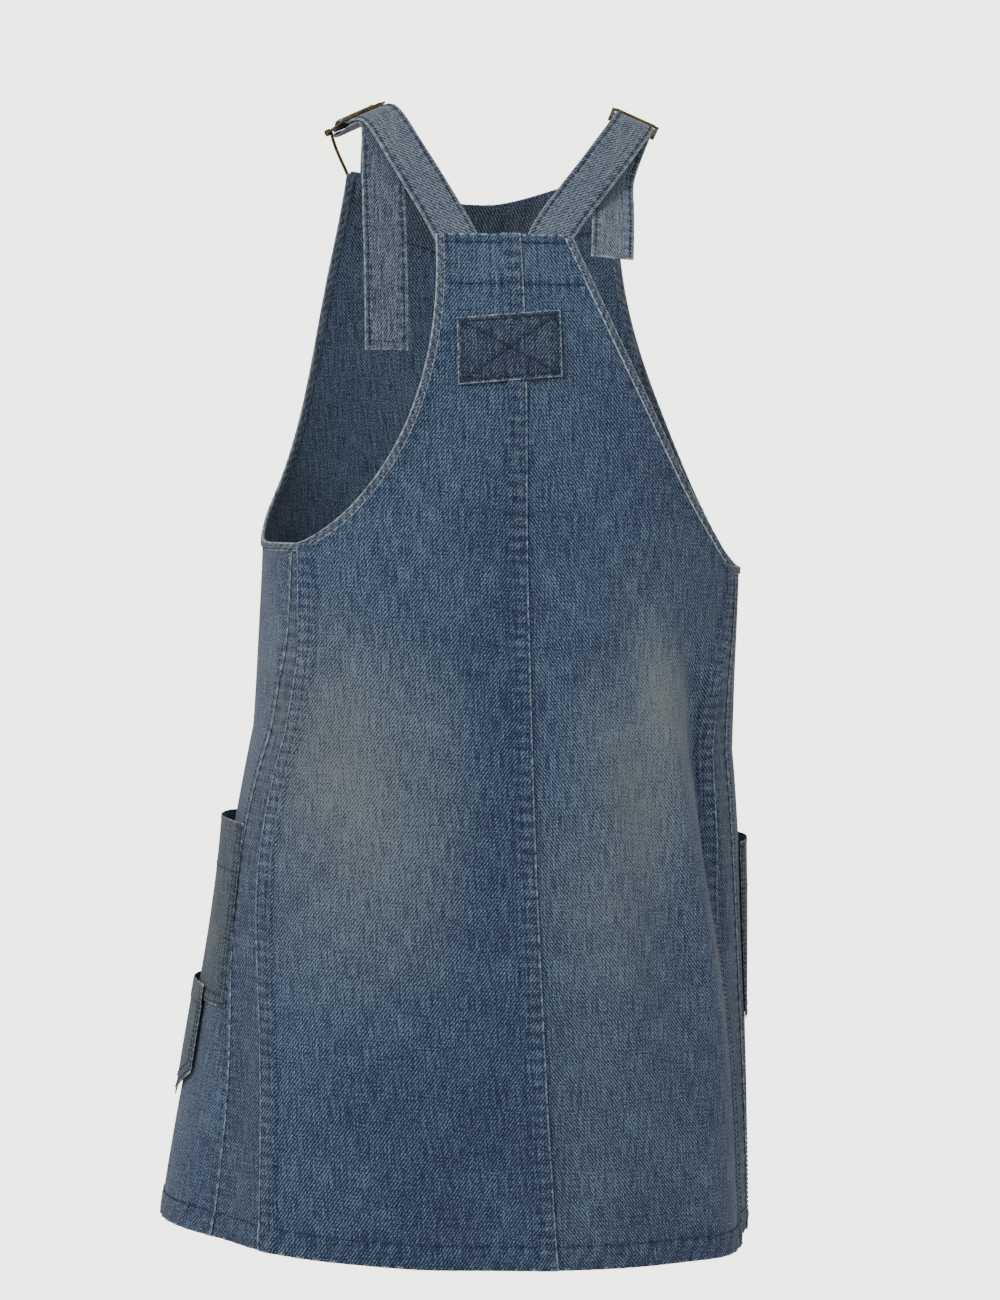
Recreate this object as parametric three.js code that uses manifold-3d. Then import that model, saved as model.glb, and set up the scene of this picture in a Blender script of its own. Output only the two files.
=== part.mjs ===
// A denim pinafore dress with dungaree straps, hanging as it is worn.
// Millimetres. The wearer faces -Y, their left is +X, and z = 0 is the shoulder line that the straps cross.
import * as THREE from "three";
import { mergeVertices } from "three/addons/utils/BufferGeometryUtils.js";
import Module from "manifold-3d";

// ---- Driving dimensions -----------------------------------------------------------------------------
const DRESS_LENGTH = 855; // shoulder line to the back hem
const ARMHOLE_DROP = 338; // shoulder line to the bottom of the armholes
const YOKE_DROP = 103; // shoulder line to the top edge of the back
const BIB_CORNER_DROP = 44; // shoulder line to the bib's upper corners
const BIB_SAG = 22; // how much lower the middle of the bib's top edge lies
const FLARE_START = 480; // below this the skirt flares
const CHEST_HALF_WIDTH = 182;
const HEM_HALF_WIDTH = 220;
const BLADE_DROP = 300; // shoulder line to the fullest part of back and bust
const BACK_DEPTH = 112; // shoulder line to the back's surface there
const BUST_DEPTH = 120;
const HEM_BACK_DEPTH = 150;
const HEM_FRONT_DEPTH = 160;
const FRONT_HEM_RISE = 16;
const SECTION_POWER = 2.3; // a body section is a rounded oval, flatter than an ellipse

// How this one hangs: it leans to the wearer's left, turns a little on the body and drops on the other side.
const CHEST_LEAN = -9;
const HEM_LEAN = 22;
const CHEST_TURN = 3; // degrees
const HEM_TURN = -10; // degrees
const SWAY_POWER = 1.25; // how late down the skirt the lean and the turn come in
const SIDE_DROP = 0.05; // millimetres of height per millimetre across, below the shoulder blades

// ---- Cloth, seams and clearances --------------------------------------------------------------------
const DENIM = 1.0; // one layer
const STRAP_THICK = 2.0; // two layers
const GAP = 0.3; // between pieces that touch
const SEAM_LAP = 12; // how far a felled seam's upper layer runs over the lower one
const LAP_LIFT = DENIM + 2 * GAP; // height of an upper layer over a curved lower one
const BACK_CORNER = 16; // degrees from the centre back to the yoke's corners
const BIB_CORNER = 146; // degrees from the centre back to the bib's corners
const UNDERARM_PANEL = 7; // degrees of side panel at its top, under the armhole
const BINDING_WIDTH = 6.5;
const BINDING_THICK = 3.0;
const ARMHOLE_ROUND = { back: 0.55, front: 0.25, frontSweep: 1.25 }; // exponents of the armholes' curves
const YOKE_FACING = 35; // height of the facing inside the yoke
const BIB_FACING = 38;

// ---- Patch and pockets ------------------------------------------------------------------------------
const PATCH = { width: 76, height: 49, drop: 164, tilt: 5 };
const POCKET = { drop: 551, height: 138, start: 74, span: 50, gape: 9 };
const SMALL_POCKET = { drop: 677, height: 66, point: 24, start: 86, span: 26 };

// ---- Straps and their hardware ----------------------------------------------------------------------
const STRAP_WIDTH = 32;
const STRAP_INSET = 30; // from the centre back to the middle of a strap where it is sewn in
const TAIL_CLEARANCE = 1.0; // between a strap's fold and its free tail
const SLIDE = { across: 39, along: 34, thick: 1.6, bar: 3.8, cheek: 3, radius: 4 };
const WIRE = 2.6; // diameter of the hook's wire
const BUTTON = {
  cap: 17,
  capThick: 3.2,
  shank: 4.6,
  length: 14.4,
  tack: 11,
  tackThick: 1.4,
  play: 1.7,
  drop: 62,
  angle: 150,
};
const BUTTON_STAND = DENIM + WIRE / 2 + 3.6; // height of the hook's wire over the cloth at the button

// Left and right straps don't lie alike: each side has its own place, slope and tail.
const SIDES = {
  left: {
    sign: 1,
    armholeSweep: 2.2,
    slide: { x: 101, y: -6, z: -9, slope: 27 },
    tail: { top: [88, 66, -88], bottom: [89, 93, -190] },
  },
  right: {
    sign: -1,
    armholeSweep: 1.0,
    slide: { x: -112, y: -8, z: -8, slope: 24 },
    tail: { top: [-85, 57, -78], bottom: [-80, 81, -120] },
  },
};

const COLOURS = { denim: 0x54708c, faded: 0x64809a, dark: 0x33475f, brass: 0x6b5a3c };
const rad = THREE.MathUtils.degToRad;
const { clamp, lerp, smoothstep } = THREE.MathUtils;

// ---- The hung cloth's surface -----------------------------------------------------------------------
// 0 at the armholes' bottom, 1 at the hem.
function skirtShare(z) {
  return clamp((-z - ARMHOLE_DROP) / (DRESS_LENGTH - ARMHOLE_DROP), 0, 1);
}

function halfWidth(z) {
  const share = clamp((-z - FLARE_START) / (DRESS_LENGTH - FLARE_START), 0, 1.05);
  return lerp(CHEST_HALF_WIDTH, HEM_HALF_WIDTH, share ** 0.9);
}

// Depth of the surface from the shoulder line: a dome down to the blades, then a straight slope to the hem.
function depth(z, full, hem) {
  const above = clamp((z + BLADE_DROP) / BLADE_DROP, 0, 0.995);
  const below = clamp((-z - BLADE_DROP) / (DRESS_LENGTH - BLADE_DROP), 0, 1.05);
  return full * (1 - above ** 2.4) ** 0.9 + (hem - full) * below;
}

function lean(z) {
  const chest = CHEST_LEAN * smoothstep(-z, YOKE_DROP, ARMHOLE_DROP);
  return chest + (HEM_LEAN - CHEST_LEAN) * skirtShare(z) ** SWAY_POWER;
}

function turn(z) {
  const chest = CHEST_TURN * smoothstep(-z, YOKE_DROP, ARMHOLE_DROP);
  return rad(chest + (HEM_TURN - CHEST_TURN) * skirtShare(z) ** SWAY_POWER);
}

// Soft vertical folds: each is a ridge or a valley at an angle from the back, growing towards the hem.
const FOLDS = [
  { angle: 66, width: 10, depth: -8, from: 0.3 },
  { angle: 96, width: 16, depth: 9, from: 0.25 },
  { angle: -42, width: 9, depth: 6, from: 0.1 },
  { angle: -62, width: 9, depth: -8, from: 0.1 },
  { angle: -92, width: 13, depth: 5, from: 0.2 },
  { angle: 20, width: 10, depth: 4, from: 0.5 },
  { angle: 150, width: 14, depth: 6, from: 0.4 },
  { angle: -150, width: 14, depth: 6, from: 0.4 },
];

function foldDepth(angle, z) {
  const share = skirtShare(z);
  let sum = 0;
  for (const fold of FOLDS) {
    const away = (THREE.MathUtils.euclideanModulo(angle - fold.angle + 180, 360) - 180) / fold.width;
    sum += fold.depth * Math.exp(-away * away) * smoothstep(share, fold.from, 1);
  }
  return sum;
}

// Point of the cloth's inner face. angle is in degrees from the centre-back seam, towards the wearer's left.
function clothPoint(angle, z) {
  const u = rad(angle) + turn(z);
  const s = Math.sin(u);
  const c = Math.cos(u);
  const long = (Math.abs(s) ** SECTION_POWER + Math.abs(c) ** SECTION_POWER) ** (-1 / SECTION_POWER);
  const fold = foldDepth(angle, z);
  const wide = halfWidth(z) + fold;
  const deep = (c > 0 ? depth(z, BACK_DEPTH, HEM_BACK_DEPTH) : depth(z, BUST_DEPTH, HEM_FRONT_DEPTH)) + fold;
  const x = lean(z) + wide * long * s;
  const rise = (FRONT_HEM_RISE * (1 - c) * skirtShare(z)) / 2;
  const drop = SIDE_DROP * x * smoothstep(-z, YOKE_DROP * 2, ARMHOLE_DROP);
  return new THREE.Vector3(x, deep * long * c, z + rise + drop);
}

const ANGLE_STEP = 0.2;
const HEIGHT_STEP = 0.5;

function clothNormal(angle, z) {
  const across = clothPoint(angle + ANGLE_STEP, z).sub(clothPoint(angle - ANGLE_STEP, z));
  const down = clothPoint(angle, z - HEIGHT_STEP).sub(clothPoint(angle, z + HEIGHT_STEP));
  return across.cross(down).normalize();
}

// A point lifted off the cloth's inner face along its outward normal.
function onCloth(angle, z, lift = 0) {
  return clothPoint(angle, z).addScaledVector(clothNormal(angle, z), lift);
}

// How many degrees a length across the cloth takes up at a place.
function degreesFor(length, angle, z) {
  const ahead = clothPoint(angle + ANGLE_STEP, z);
  const behind = clothPoint(angle - ANGLE_STEP, z);
  return (length * 2 * ANGLE_STEP) / ahead.distanceTo(behind);
}

// ---- Seam lines, each an angle from the centre back, for the wearer's left; the right mirrors it ----
function bump(z, centre, width) {
  return Math.exp(-(((z - centre) / width) ** 2));
}

function sideSeam(side, z) {
  const wave = side.sign > 0 ? 8 * bump(z, -580, 120) - 4 * bump(z, -400, 80) : 10 * bump(z, -345, 60);
  return 52 + wave;
}

function frontSeam(side, z) {
  return sideSeam(side, z) + lerp(UNDERARM_PANEL, 20, skirtShare(z) ** 0.6);
}

// An armhole's edge as [angle, z], from the yoke's corner under the arm to the bib's corner: a quarter of a
// superellipse on the back and one on the front, meeting at the side-front seam.
const EDGE_STEPS = 36;
const EDGE_CLEARANCE = 6 * GAP; // between a panel's straight-sided edge and its curved binding

function armholeOutline(side) {
  const low = frontSeam(side, -ARMHOLE_DROP);
  const back = [];
  const front = [];
  for (let i = 0; i <= EDGE_STEPS; i++) {
    const t = 1 - (1 - i / EDGE_STEPS) ** 2.4;
    const backShare = (1 - t ** side.armholeSweep) ** ARMHOLE_ROUND.back;
    const frontShare = (1 - t ** ARMHOLE_ROUND.frontSweep) ** ARMHOLE_ROUND.front;
    back.push([lerp(low, BACK_CORNER, backShare), -lerp(YOKE_DROP, ARMHOLE_DROP, t)]);
    front.push([lerp(low, BIB_CORNER, frontShare), -lerp(BIB_CORNER_DROP, ARMHOLE_DROP, t)]);
  }
  return [...back, ...front.reverse().slice(1)];
}

// The same outline moved into the cloth by a distance.
function insetOutline(side, distance) {
  const outline = armholeOutline(side);
  return outline.map(([angle, z], k) => {
    const [a0, z0] = outline[Math.max(k - 1, 0)];
    const [a1, z1] = outline[Math.min(k + 1, outline.length - 1)];
    const perDegree = 1 / degreesFor(1, side.sign * angle, z);
    const along = [(a1 - a0) * perDegree, z1 - z0];
    const size = Math.hypot(...along);
    return [angle + (along[1] * distance) / size / perDegree, z - (along[0] * distance) / size];
  });
}

for (const side of Object.values(SIDES)) side.edge = insetOutline(side, BINDING_WIDTH + EDGE_CLEARANCE);

// Where the panels' edge crosses a height, on the back or on the front.
function edgeAngle(side, z, onBack) {
  const edge = onBack ? side.edge : [...side.edge].reverse();
  for (let k = 1; k < edge.length; k++) {
    if (edge[k][1] > z) continue;
    const share = (edge[k - 1][1] - z) / (edge[k - 1][1] - edge[k][1]);
    return lerp(edge[k - 1][0], edge[k][0], clamp(share, 0, 1));
  }
  return frontSeam(side, z);
}

// How high the panels' edge lies at an angle.
function edgeHeight(side, angle) {
  const { edge } = side;
  for (let k = 1; k < edge.length; k++) {
    if (edge[k][0] < angle) continue;
    const share = (angle - edge[k - 1][0]) / (edge[k][0] - edge[k - 1][0]);
    return lerp(edge[k - 1][1], edge[k][1], share);
  }
  return -ARMHOLE_DROP;
}

const PANEL_LEVEL = ARMHOLE_DROP + BINDING_WIDTH + EDGE_CLEARANCE; // where the panels' edge is lowest

// ---- Solids -----------------------------------------------------------------------------------------
// One closed sheet. rows and columns of point(s, t, lift), with s across towards +angle and t down.
function sheetGeometry(point, columns, rows, inner, outer) {
  const positions = [];
  const index = [];
  const stride = columns + 1;
  for (const lift of [inner, outer])
    for (let j = 0; j <= rows; j++)
      for (let i = 0; i <= columns; i++) positions.push(...point(i / columns, j / rows, lift).toArray());
  const at = (layer, i, j) => layer * stride * (rows + 1) + j * stride + i;
  const quad = (a, b, c, d) => index.push(a, b, c, a, c, d);
  for (let j = 0; j < rows; j++)
    for (let i = 0; i < columns; i++) {
      quad(at(1, i, j), at(1, i, j + 1), at(1, i + 1, j + 1), at(1, i + 1, j));
      quad(at(0, i, j), at(0, i + 1, j), at(0, i + 1, j + 1), at(0, i, j + 1));
    }
  for (let i = 0; i < columns; i++) {
    quad(at(0, i, 0), at(1, i, 0), at(1, i + 1, 0), at(0, i + 1, 0));
    quad(at(0, i, rows), at(0, i + 1, rows), at(1, i + 1, rows), at(1, i, rows));
  }
  for (let j = 0; j < rows; j++) {
    quad(at(0, 0, j), at(0, 0, j + 1), at(1, 0, j + 1), at(1, 0, j));
    quad(at(0, columns, j), at(1, columns, j), at(1, columns, j + 1), at(0, columns, j + 1));
  }
  const geometry = new THREE.BufferGeometry();
  geometry.setAttribute("position", new THREE.Float32BufferAttribute(positions, 3));
  geometry.setIndex(index);
  return geometry;
}

function volumeOf(geometry) {
  const p = geometry.getAttribute("position");
  const ix = geometry.index;
  const [a, b, c] = [new THREE.Vector3(), new THREE.Vector3(), new THREE.Vector3()];
  let sum = 0;
  for (let i = 0; i < ix.count; i += 3) {
    a.fromBufferAttribute(p, ix.getX(i));
    b.fromBufferAttribute(p, ix.getX(i + 1));
    c.fromBufferAttribute(p, ix.getX(i + 2));
    sum += a.dot(b.cross(c));
  }
  return sum;
}

// Turns a closed geometry's faces outwards, whichever way its grid ran.
function facedOut(geometry) {
  if (volumeOf(geometry) > 0) return geometry;
  const ix = geometry.index;
  for (let i = 0; i < ix.count; i += 3) {
    const [b, c] = [ix.getX(i + 1), ix.getX(i + 2)];
    ix.setX(i + 1, c);
    ix.setX(i + 2, b);
  }
  return geometry;
}

const dress = new THREE.Group();

function addMesh(name, geometry, colour, metal = false, parent = dress) {
  const finish = { color: colour, roughness: metal ? 0.45 : 0.95, metalness: metal ? 0.9 : 0 };
  const mesh = new THREE.Mesh(geometry, new THREE.MeshStandardMaterial(finish));
  mesh.name = name;
  parent.add(mesh);
  return mesh;
}

// A sheet that lies on the cloth. place(s, t) gives [angle, z], and liftAt(s, t) what it stands proud by.
function sheetOnCloth(place, columns, rows, liftAt = () => 0) {
  const point = (s, t, lift) => {
    const [angle, z] = place(s, t);
    return onCloth(angle, z, lift + liftAt(s, t));
  };
  return facedOut(sheetGeometry(point, columns, rows, 0, DENIM));
}

function addSheet(name, place, columns, rows, colour, liftAt) {
  addMesh(name, sheetOnCloth(place, columns, rows, liftAt), colour);
}

// ---- Boolean cuts -----------------------------------------------------------------------------------
const wasm = await Module();
wasm.setup();

function toManifold(geometry) {
  const bare = new THREE.BufferGeometry().setAttribute("position", geometry.getAttribute("position"));
  const merged = mergeVertices(geometry.index ? bare.setIndex(geometry.index) : bare, 1e-4);
  const triVerts = new Uint32Array(merged.index.array);
  const vertProperties = merged.attributes.position.array;
  return new wasm.Manifold(new wasm.Mesh({ numProp: 3, vertProperties, triVerts }));
}

function cut(geometry, tool) {
  const mesh = toManifold(geometry).subtract(toManifold(tool)).getMesh();
  const result = new THREE.BufferGeometry();
  result.setAttribute("position", new THREE.Float32BufferAttribute(mesh.vertProperties, 3));
  result.setIndex(new THREE.Uint32BufferAttribute(mesh.triVerts, 1));
  return result;
}

// ---- Panels -----------------------------------------------------------------------------------------
const seamHalf = GAP / 2;
const ROWS = 26; // every panel's rows below the armholes lie at the same heights

// Height of a row: rows close up at the top, where the cloth bends over, and at the armholes' bottom.
function rowHeight(top, t) {
  if (t < 0.5) return -lerp(top, PANEL_LEVEL, (1 - Math.cos(2 * Math.PI * t)) / 2);
  return -lerp(PANEL_LEVEL, DRESS_LENGTH, (2 * t - 1) ** 1.15);
}

// Back panel from the centre-back seam to the armhole and side seam. The left one laps over the right at the
// centre, and each laps over its side panel.
const LAP_STEP = 1.5; // how far a lap takes to drop to the lower layer
const BODY_COLUMNS = 8;

function addBackPanel(name, side) {
  const laps = side.sign > 0;
  const stops = (z) => {
    const seam = sideSeam(side, z);
    const hole = z > -PANEL_LEVEL ? edgeAngle(side, z, true) : 180;
    const outer = Math.min(seam + degreesFor(SEAM_LAP, seam, z), hole);
    const lapFrom = Math.min(seam - degreesFor(2, seam, z), outer - degreesFor(2 * LAP_STEP, outer, z));
    const inner = laps ? -degreesFor(SEAM_LAP, 0, z) : degreesFor(seamHalf, 0, z);
    const innerLap = laps ? degreesFor(2, 0, z) : inner + degreesFor(2, 0, z);
    const angles = [inner, innerLap];
    const flat = innerLap + degreesFor(LAP_STEP, 0, z);
    const bodyEnd = lapFrom - degreesFor(LAP_STEP, seam, z);
    for (let k = 0; k <= BODY_COLUMNS; k++) angles.push(lerp(flat, bodyEnd, k / BODY_COLUMNS));
    return [...angles, lapFrom, outer];
  };
  const columns = BODY_COLUMNS + 4;
  const place = (s, t) => {
    const z = rowHeight(YOKE_DROP, t);
    return [side.sign * stops(z)[Math.round(s * columns)], z];
  };
  const lift = (s, t) => {
    const k = Math.round(s * columns);
    const z = rowHeight(YOKE_DROP, t);
    const lapped = stops(z)[columns] > sideSeam(side, z);
    return (k <= 1 && laps) || (k >= columns - 1 && lapped) ? LAP_LIFT : 0;
  };
  addSheet(name, place, columns, ROWS, COLOURS.denim, lift);
}

// Narrow side panel under the arm, between the side seam and the side-front seam.
function addSidePanel(name, side) {
  const place = (s, t) => {
    const z = rowHeight(ARMHOLE_DROP, 0.5 + t / 2);
    const from = sideSeam(side, z) + degreesFor(seamHalf, 52, z);
    const to = frontSeam(side, z) - degreesFor(seamHalf, 70, z);
    const angle = lerp(from, to, s);
    return [side.sign * angle, t === 0 ? edgeHeight(side, angle) - 5 * GAP : z];
  };
  addSheet(name, place, 6, ROWS / 2, COLOURS.denim);
}

// Front panel from the side-front seam round to the centre front, with its half of the bib.
function frontPanelGeometry(side) {
  const place = (s, t) => {
    const z = rowHeight(BIB_CORNER_DROP, t);
    const seam = frontSeam(side, z) + degreesFor(seamHalf, 70, z);
    const from = z > -PANEL_LEVEL ? Math.max(seam, edgeAngle(side, z, false)) : seam;
    const angle = lerp(from, 180 - degreesFor(seamHalf, 180, z), s);
    const sag = BIB_SAG * smoothstep(angle, BIB_CORNER, 180) * clamp(1 + (z + BIB_CORNER_DROP) / 130, 0, 1);
    return [side.sign * angle, z - sag];
  };
  return sheetOnCloth(place, 14, ROWS);
}

// ---- Bindings, facings, patch and pockets -----------------------------------------------------------
// A closed bar of rectangular section along a path; acrossAt gives the direction of its width.
function barGeometry(centres, acrosses, normals, width, thick) {
  const point = (s, t, lift) => {
    const k = Math.round(t * (centres.length - 1));
    const across = acrosses[k].clone().multiplyScalar((s - 0.5) * width);
    return centres[k].clone().add(across).addScaledVector(normals[k], lift);
  };
  return facedOut(sheetGeometry(point, 1, centres.length - 1, -thick / 2, thick / 2));
}

// Binding round an armhole, from the yoke's corner under the arm to the bib's corner.
function addBinding(name, side) {
  const outline = insetOutline(side, BINDING_WIDTH / 2).filter((_, k) => k % 2 === 0);
  const centres = outline.map(([angle, z]) => onCloth(side.sign * angle, z, DENIM / 2));
  const normals = outline.map(([angle, z]) => clothNormal(side.sign * angle, z));
  const acrosses = centres.map((p, k) => {
    const along = centres[Math.min(k + 1, centres.length - 1)].clone().sub(centres[Math.max(k - 1, 0)]);
    return along.cross(normals[k]).normalize();
  });
  addMesh(name, barGeometry(centres, acrosses, normals, BINDING_WIDTH, BINDING_THICK), COLOURS.faded);
}

// How far inside the cloth's inner face a strap's middle lies where it is sewn in.
const STRAP_BURY = (BINDING_THICK - DENIM) / 2 + STRAP_THICK / 2 + 6 * GAP;

// Facing inside the yoke, with the straps' ends between it and the back panels.
function addYokeFacing() {
  const place = (s, t) => {
    const z = -lerp(YOKE_DROP, YOKE_DROP + YOKE_FACING, t);
    const half = [SIDES.right, SIDES.left].map((side) => edgeAngle(side, z, true));
    return [lerp(-half[0], half[1], s), z];
  };
  addSheet("yoke_facing", place, 8, 3, COLOURS.dark, () => -STRAP_BURY - STRAP_THICK / 2 - 5 * GAP - DENIM);
}

function bibFacingGeometry() {
  const place = (s, t) => {
    const z = -lerp(BIB_CORNER_DROP, BIB_CORNER_DROP + BIB_FACING, t);
    const angle = lerp(edgeAngle(SIDES.left, z, false), 360 - edgeAngle(SIDES.right, z, false), s);
    const sag = BIB_SAG * smoothstep(180 - Math.abs(180 - angle), BIB_CORNER, 180);
    return [angle, z - sag];
  };
  return sheetOnCloth(place, 22, 5, () => -2 * GAP - DENIM);
}

// Patch sewn across the centre-back seam, a little out of level.
function addPatch() {
  const slope = Math.tan(rad(PATCH.tilt));
  const place = (s, t) => {
    const across = lerp(-PATCH.width / 2, PATCH.width / 2, s);
    const z = -PATCH.drop - PATCH.height * t - across * slope;
    return [degreesFor(across, 0, z), z];
  };
  addSheet("back_patch", place, 6, 4, COLOURS.dark, () => LAP_LIFT + DENIM + GAP);
}

const POCKET_STAND = 0.4; // room for the front panel's curve under a pocket's flat facets

// Where a big pocket's cloth stands: tight at its sides and foot, gaping at its mouth.
function pocketLift(s, t) {
  return LAP_LIFT + POCKET_STAND + POCKET.gape * (1 - t) ** 1.5 * Math.sin(Math.PI * s) ** 0.8;
}

function addBigPocket(name, side) {
  const place = (s, t) => {
    const z = -lerp(POCKET.drop, POCKET.drop + POCKET.height, t);
    return [side.sign * (POCKET.start + POCKET.span * s), z];
  };
  addSheet(name, place, 14, 8, COLOURS.denim, pocketLift);
}

// Small pocket with a pointed foot, over the lower edge of the left big pocket.
function addSmallPocket() {
  const { drop, height, point, start, span } = SMALL_POCKET;
  const place = (s, t) => {
    const foot = height + point * (1 - Math.abs(2 * s - 1));
    return [start + span * s, -drop - foot * t];
  };
  const lift = (s, t) => 2 * (LAP_LIFT + POCKET_STAND) + 2.5 * (1 - t) * Math.sin(Math.PI * s);
  addSheet("small_pocket", place, 8, 6, COLOURS.faded, lift);
}

// ---- Straps -----------------------------------------------------------------------------------------
// A flat strap along a smooth curve. Each station is a centre, an outward normal and a direction across.
function strapGeometry(stations, steps) {
  const curve = new THREE.CatmullRomCurve3(stations.map((station) => station.centre), false, "centripetal");
  const centres = [];
  const normals = [];
  const acrosses = [];
  for (let i = 0; i <= steps; i++) {
    const t = i / steps;
    const k = Math.min(Math.floor(t * (stations.length - 1)), stations.length - 2);
    const share = t * (stations.length - 1) - k;
    const across = stations[k].across.clone().lerp(stations[k + 1].across, share).normalize();
    const normal = curve.getTangent(t).cross(across).normalize();
    if (normal.dot(stations[k].normal) < 0) normal.negate();
    centres.push(curve.getPoint(t));
    normals.push(normal);
    acrosses.push(across);
  }
  return barGeometry(centres, acrosses, normals, STRAP_WIDTH, STRAP_THICK);
}

// The place on the bib that a button is fixed at, on the hook's wire.
function buttonSeat(side) {
  return onCloth(side.sign * BUTTON.angle, -BUTTON.drop, BUTTON_STAND);
}

// A slide's own frame: x across the strap, -y towards the button and z up off the shoulder.
function slideFrame(side) {
  const { x, y, z, slope } = side.slide;
  const up = new THREE.Vector3(side.sign * Math.sin(rad(slope)), 0, Math.cos(rad(slope)));
  const origin = new THREE.Vector3(x, y, z);
  const back = origin.clone().sub(buttonSeat(side));
  back.addScaledVector(up, -back.dot(up)).normalize();
  const across = back.clone().cross(up);
  const frame = new THREE.Group();
  frame.position.copy(origin);
  frame.quaternion.setFromRotationMatrix(new THREE.Matrix4().makeBasis(across, back, up));
  frame.updateMatrixWorld(true);
  return frame;
}

const SLIDE_LIFT = 2.1; // the slide's middle over its frame's origin
const FOLD_DROP = STRAP_THICK + 4 * GAP; // from the strap's middle down to the middle of its fold beneath

// Strap from inside the yoke, over the shoulder, up through the slide's rear window and down its front one.
function addStrap(name, side) {
  const frame = slideFrame(side);
  const local = (y, z) => frame.localToWorld(new THREE.Vector3(0, y, z));
  const across = new THREE.Vector3(1, 0, 0).transformDirection(frame.matrixWorld).multiplyScalar(side.sign);
  const up = new THREE.Vector3(0, 0, 1).transformDirection(frame.matrixWorld);
  const sewn = degreesFor(STRAP_INSET, BACK_CORNER, -YOKE_DROP) * side.sign;
  const back = clothNormal(sewn, -YOKE_DROP);
  const rootAcross = new THREE.Vector3(side.sign * 0.8, 0, -0.6);
  rootAcross.addScaledVector(back, -rootAcross.dot(back)).normalize();
  const foot = onCloth(sewn * 0.86, -YOKE_DROP - 22, -STRAP_BURY);
  const lip = onCloth(sewn * 1.2, -YOKE_DROP + 2, -STRAP_BURY);
  const shoulder = local(SLIDE.along / 2 + 20, -7);
  const middle = lip.clone().lerp(shoulder, 0.55).add(new THREE.Vector3(side.sign * 3, 8, 5));
  const windowEdge = SLIDE.along / 2 - SLIDE.bar;
  const over = SLIDE_LIFT + SLIDE.thick / 2 + STRAP_THICK / 2 + 2 * GAP;
  const stations = [
    { centre: foot, normal: back, across: rootAcross },
    { centre: lip, normal: back, across: rootAcross },
    { centre: middle, normal: back.clone().lerp(up, 0.5), across: rootAcross.clone().lerp(across, 0.6) },
    { centre: shoulder, normal: up, across },
    { centre: local(SLIDE.along / 2 + 5, -1.2), normal: up, across },
    { centre: local(windowEdge + 0.5, -0.6), normal: up, across },
    { centre: local(SLIDE.bar / 2 + 1, over - 0.2), normal: up, across },
    { centre: local(-SLIDE.bar / 2 - 1, over - 0.2), normal: up, across },
    { centre: local(-windowEdge - 0.5, -0.6), normal: up, across },
  ];
  addMesh(name, strapGeometry(stations, 40), COLOURS.dark);
}

// The strap's end turned back under the slide and the strap, as far as where it hangs free.
function addFold(name, side) {
  const frame = slideFrame(side);
  const local = (y, z) => frame.localToWorld(new THREE.Vector3(0, y, z));
  const across = new THREE.Vector3(1, 0, 0).transformDirection(frame.matrixWorld).multiplyScalar(side.sign);
  const up = new THREE.Vector3(0, 0, 1).transformDirection(frame.matrixWorld);
  const top = new THREE.Vector3(...side.tail.top);
  const down = new THREE.Vector3(...side.tail.bottom).sub(top).normalize();
  const { across: tailAcross, normal: tailNormal } = tailDirections(side);
  const end = top.clone().addScaledVector(down, -TAIL_CLEARANCE);
  const beforeEnd = end.clone().addScaledVector(down, -24).addScaledVector(tailNormal, -1);
  const stations = [
    { centre: local(-SLIDE.along / 2 + 5, -0.8 - FOLD_DROP), normal: up, across },
    { centre: local(SLIDE.along / 2, -0.8 - FOLD_DROP), normal: up, across },
    { centre: local(SLIDE.along / 2 + 14, -4 - FOLD_DROP), normal: up, across },
    { centre: beforeEnd, normal: tailNormal, across: tailAcross },
    { centre: end, normal: tailNormal, across: tailAcross },
  ];
  addMesh(name, strapGeometry(stations, 20), COLOURS.dark);
}

function tailDirections(side) {
  const down = new THREE.Vector3(...side.tail.bottom).sub(new THREE.Vector3(...side.tail.top)).normalize();
  const across = new THREE.Vector3(side.sign, 0, 0).addScaledVector(down, -down.x * side.sign).normalize();
  const normal = across.clone().cross(down).normalize();
  if (normal.y < 0) normal.negate();
  return { down, across, normal };
}

// The strap's free end, hanging from its fold behind the shoulder.
function addTail(name, side) {
  const { across, normal } = tailDirections(side);
  const from = new THREE.Vector3(...side.tail.top);
  const to = new THREE.Vector3(...side.tail.bottom);
  const bow = from.distanceTo(to) / 25;
  const stations = [0, 0.33, 0.67, 1].map((share) => ({
    centre: from.clone().lerp(to, share).addScaledVector(normal, bow * Math.sin(Math.PI * share)),
    normal,
    across,
  }));
  addMesh(name, strapGeometry(stations, 9), COLOURS.dark);
}

// ---- Metal ------------------------------------------------------------------------------------------
function roundedRectangle(path, width, height, radius, middle = 0) {
  const [x, y] = [-width / 2, middle - height / 2];
  path.moveTo(x + radius, y);
  path.lineTo(x + width - radius, y);
  path.absarc(x + width - radius, y + radius, radius, -Math.PI / 2, 0);
  path.lineTo(x + width, y + height - radius);
  path.absarc(x + width - radius, y + height - radius, radius, 0, Math.PI / 2);
  path.lineTo(x + radius, y + height);
  path.absarc(x + radius, y + height - radius, radius, Math.PI / 2, Math.PI);
  path.lineTo(x, y + radius);
  path.absarc(x + radius, y + radius, radius, Math.PI, Math.PI * 1.5);
  return path;
}

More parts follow.
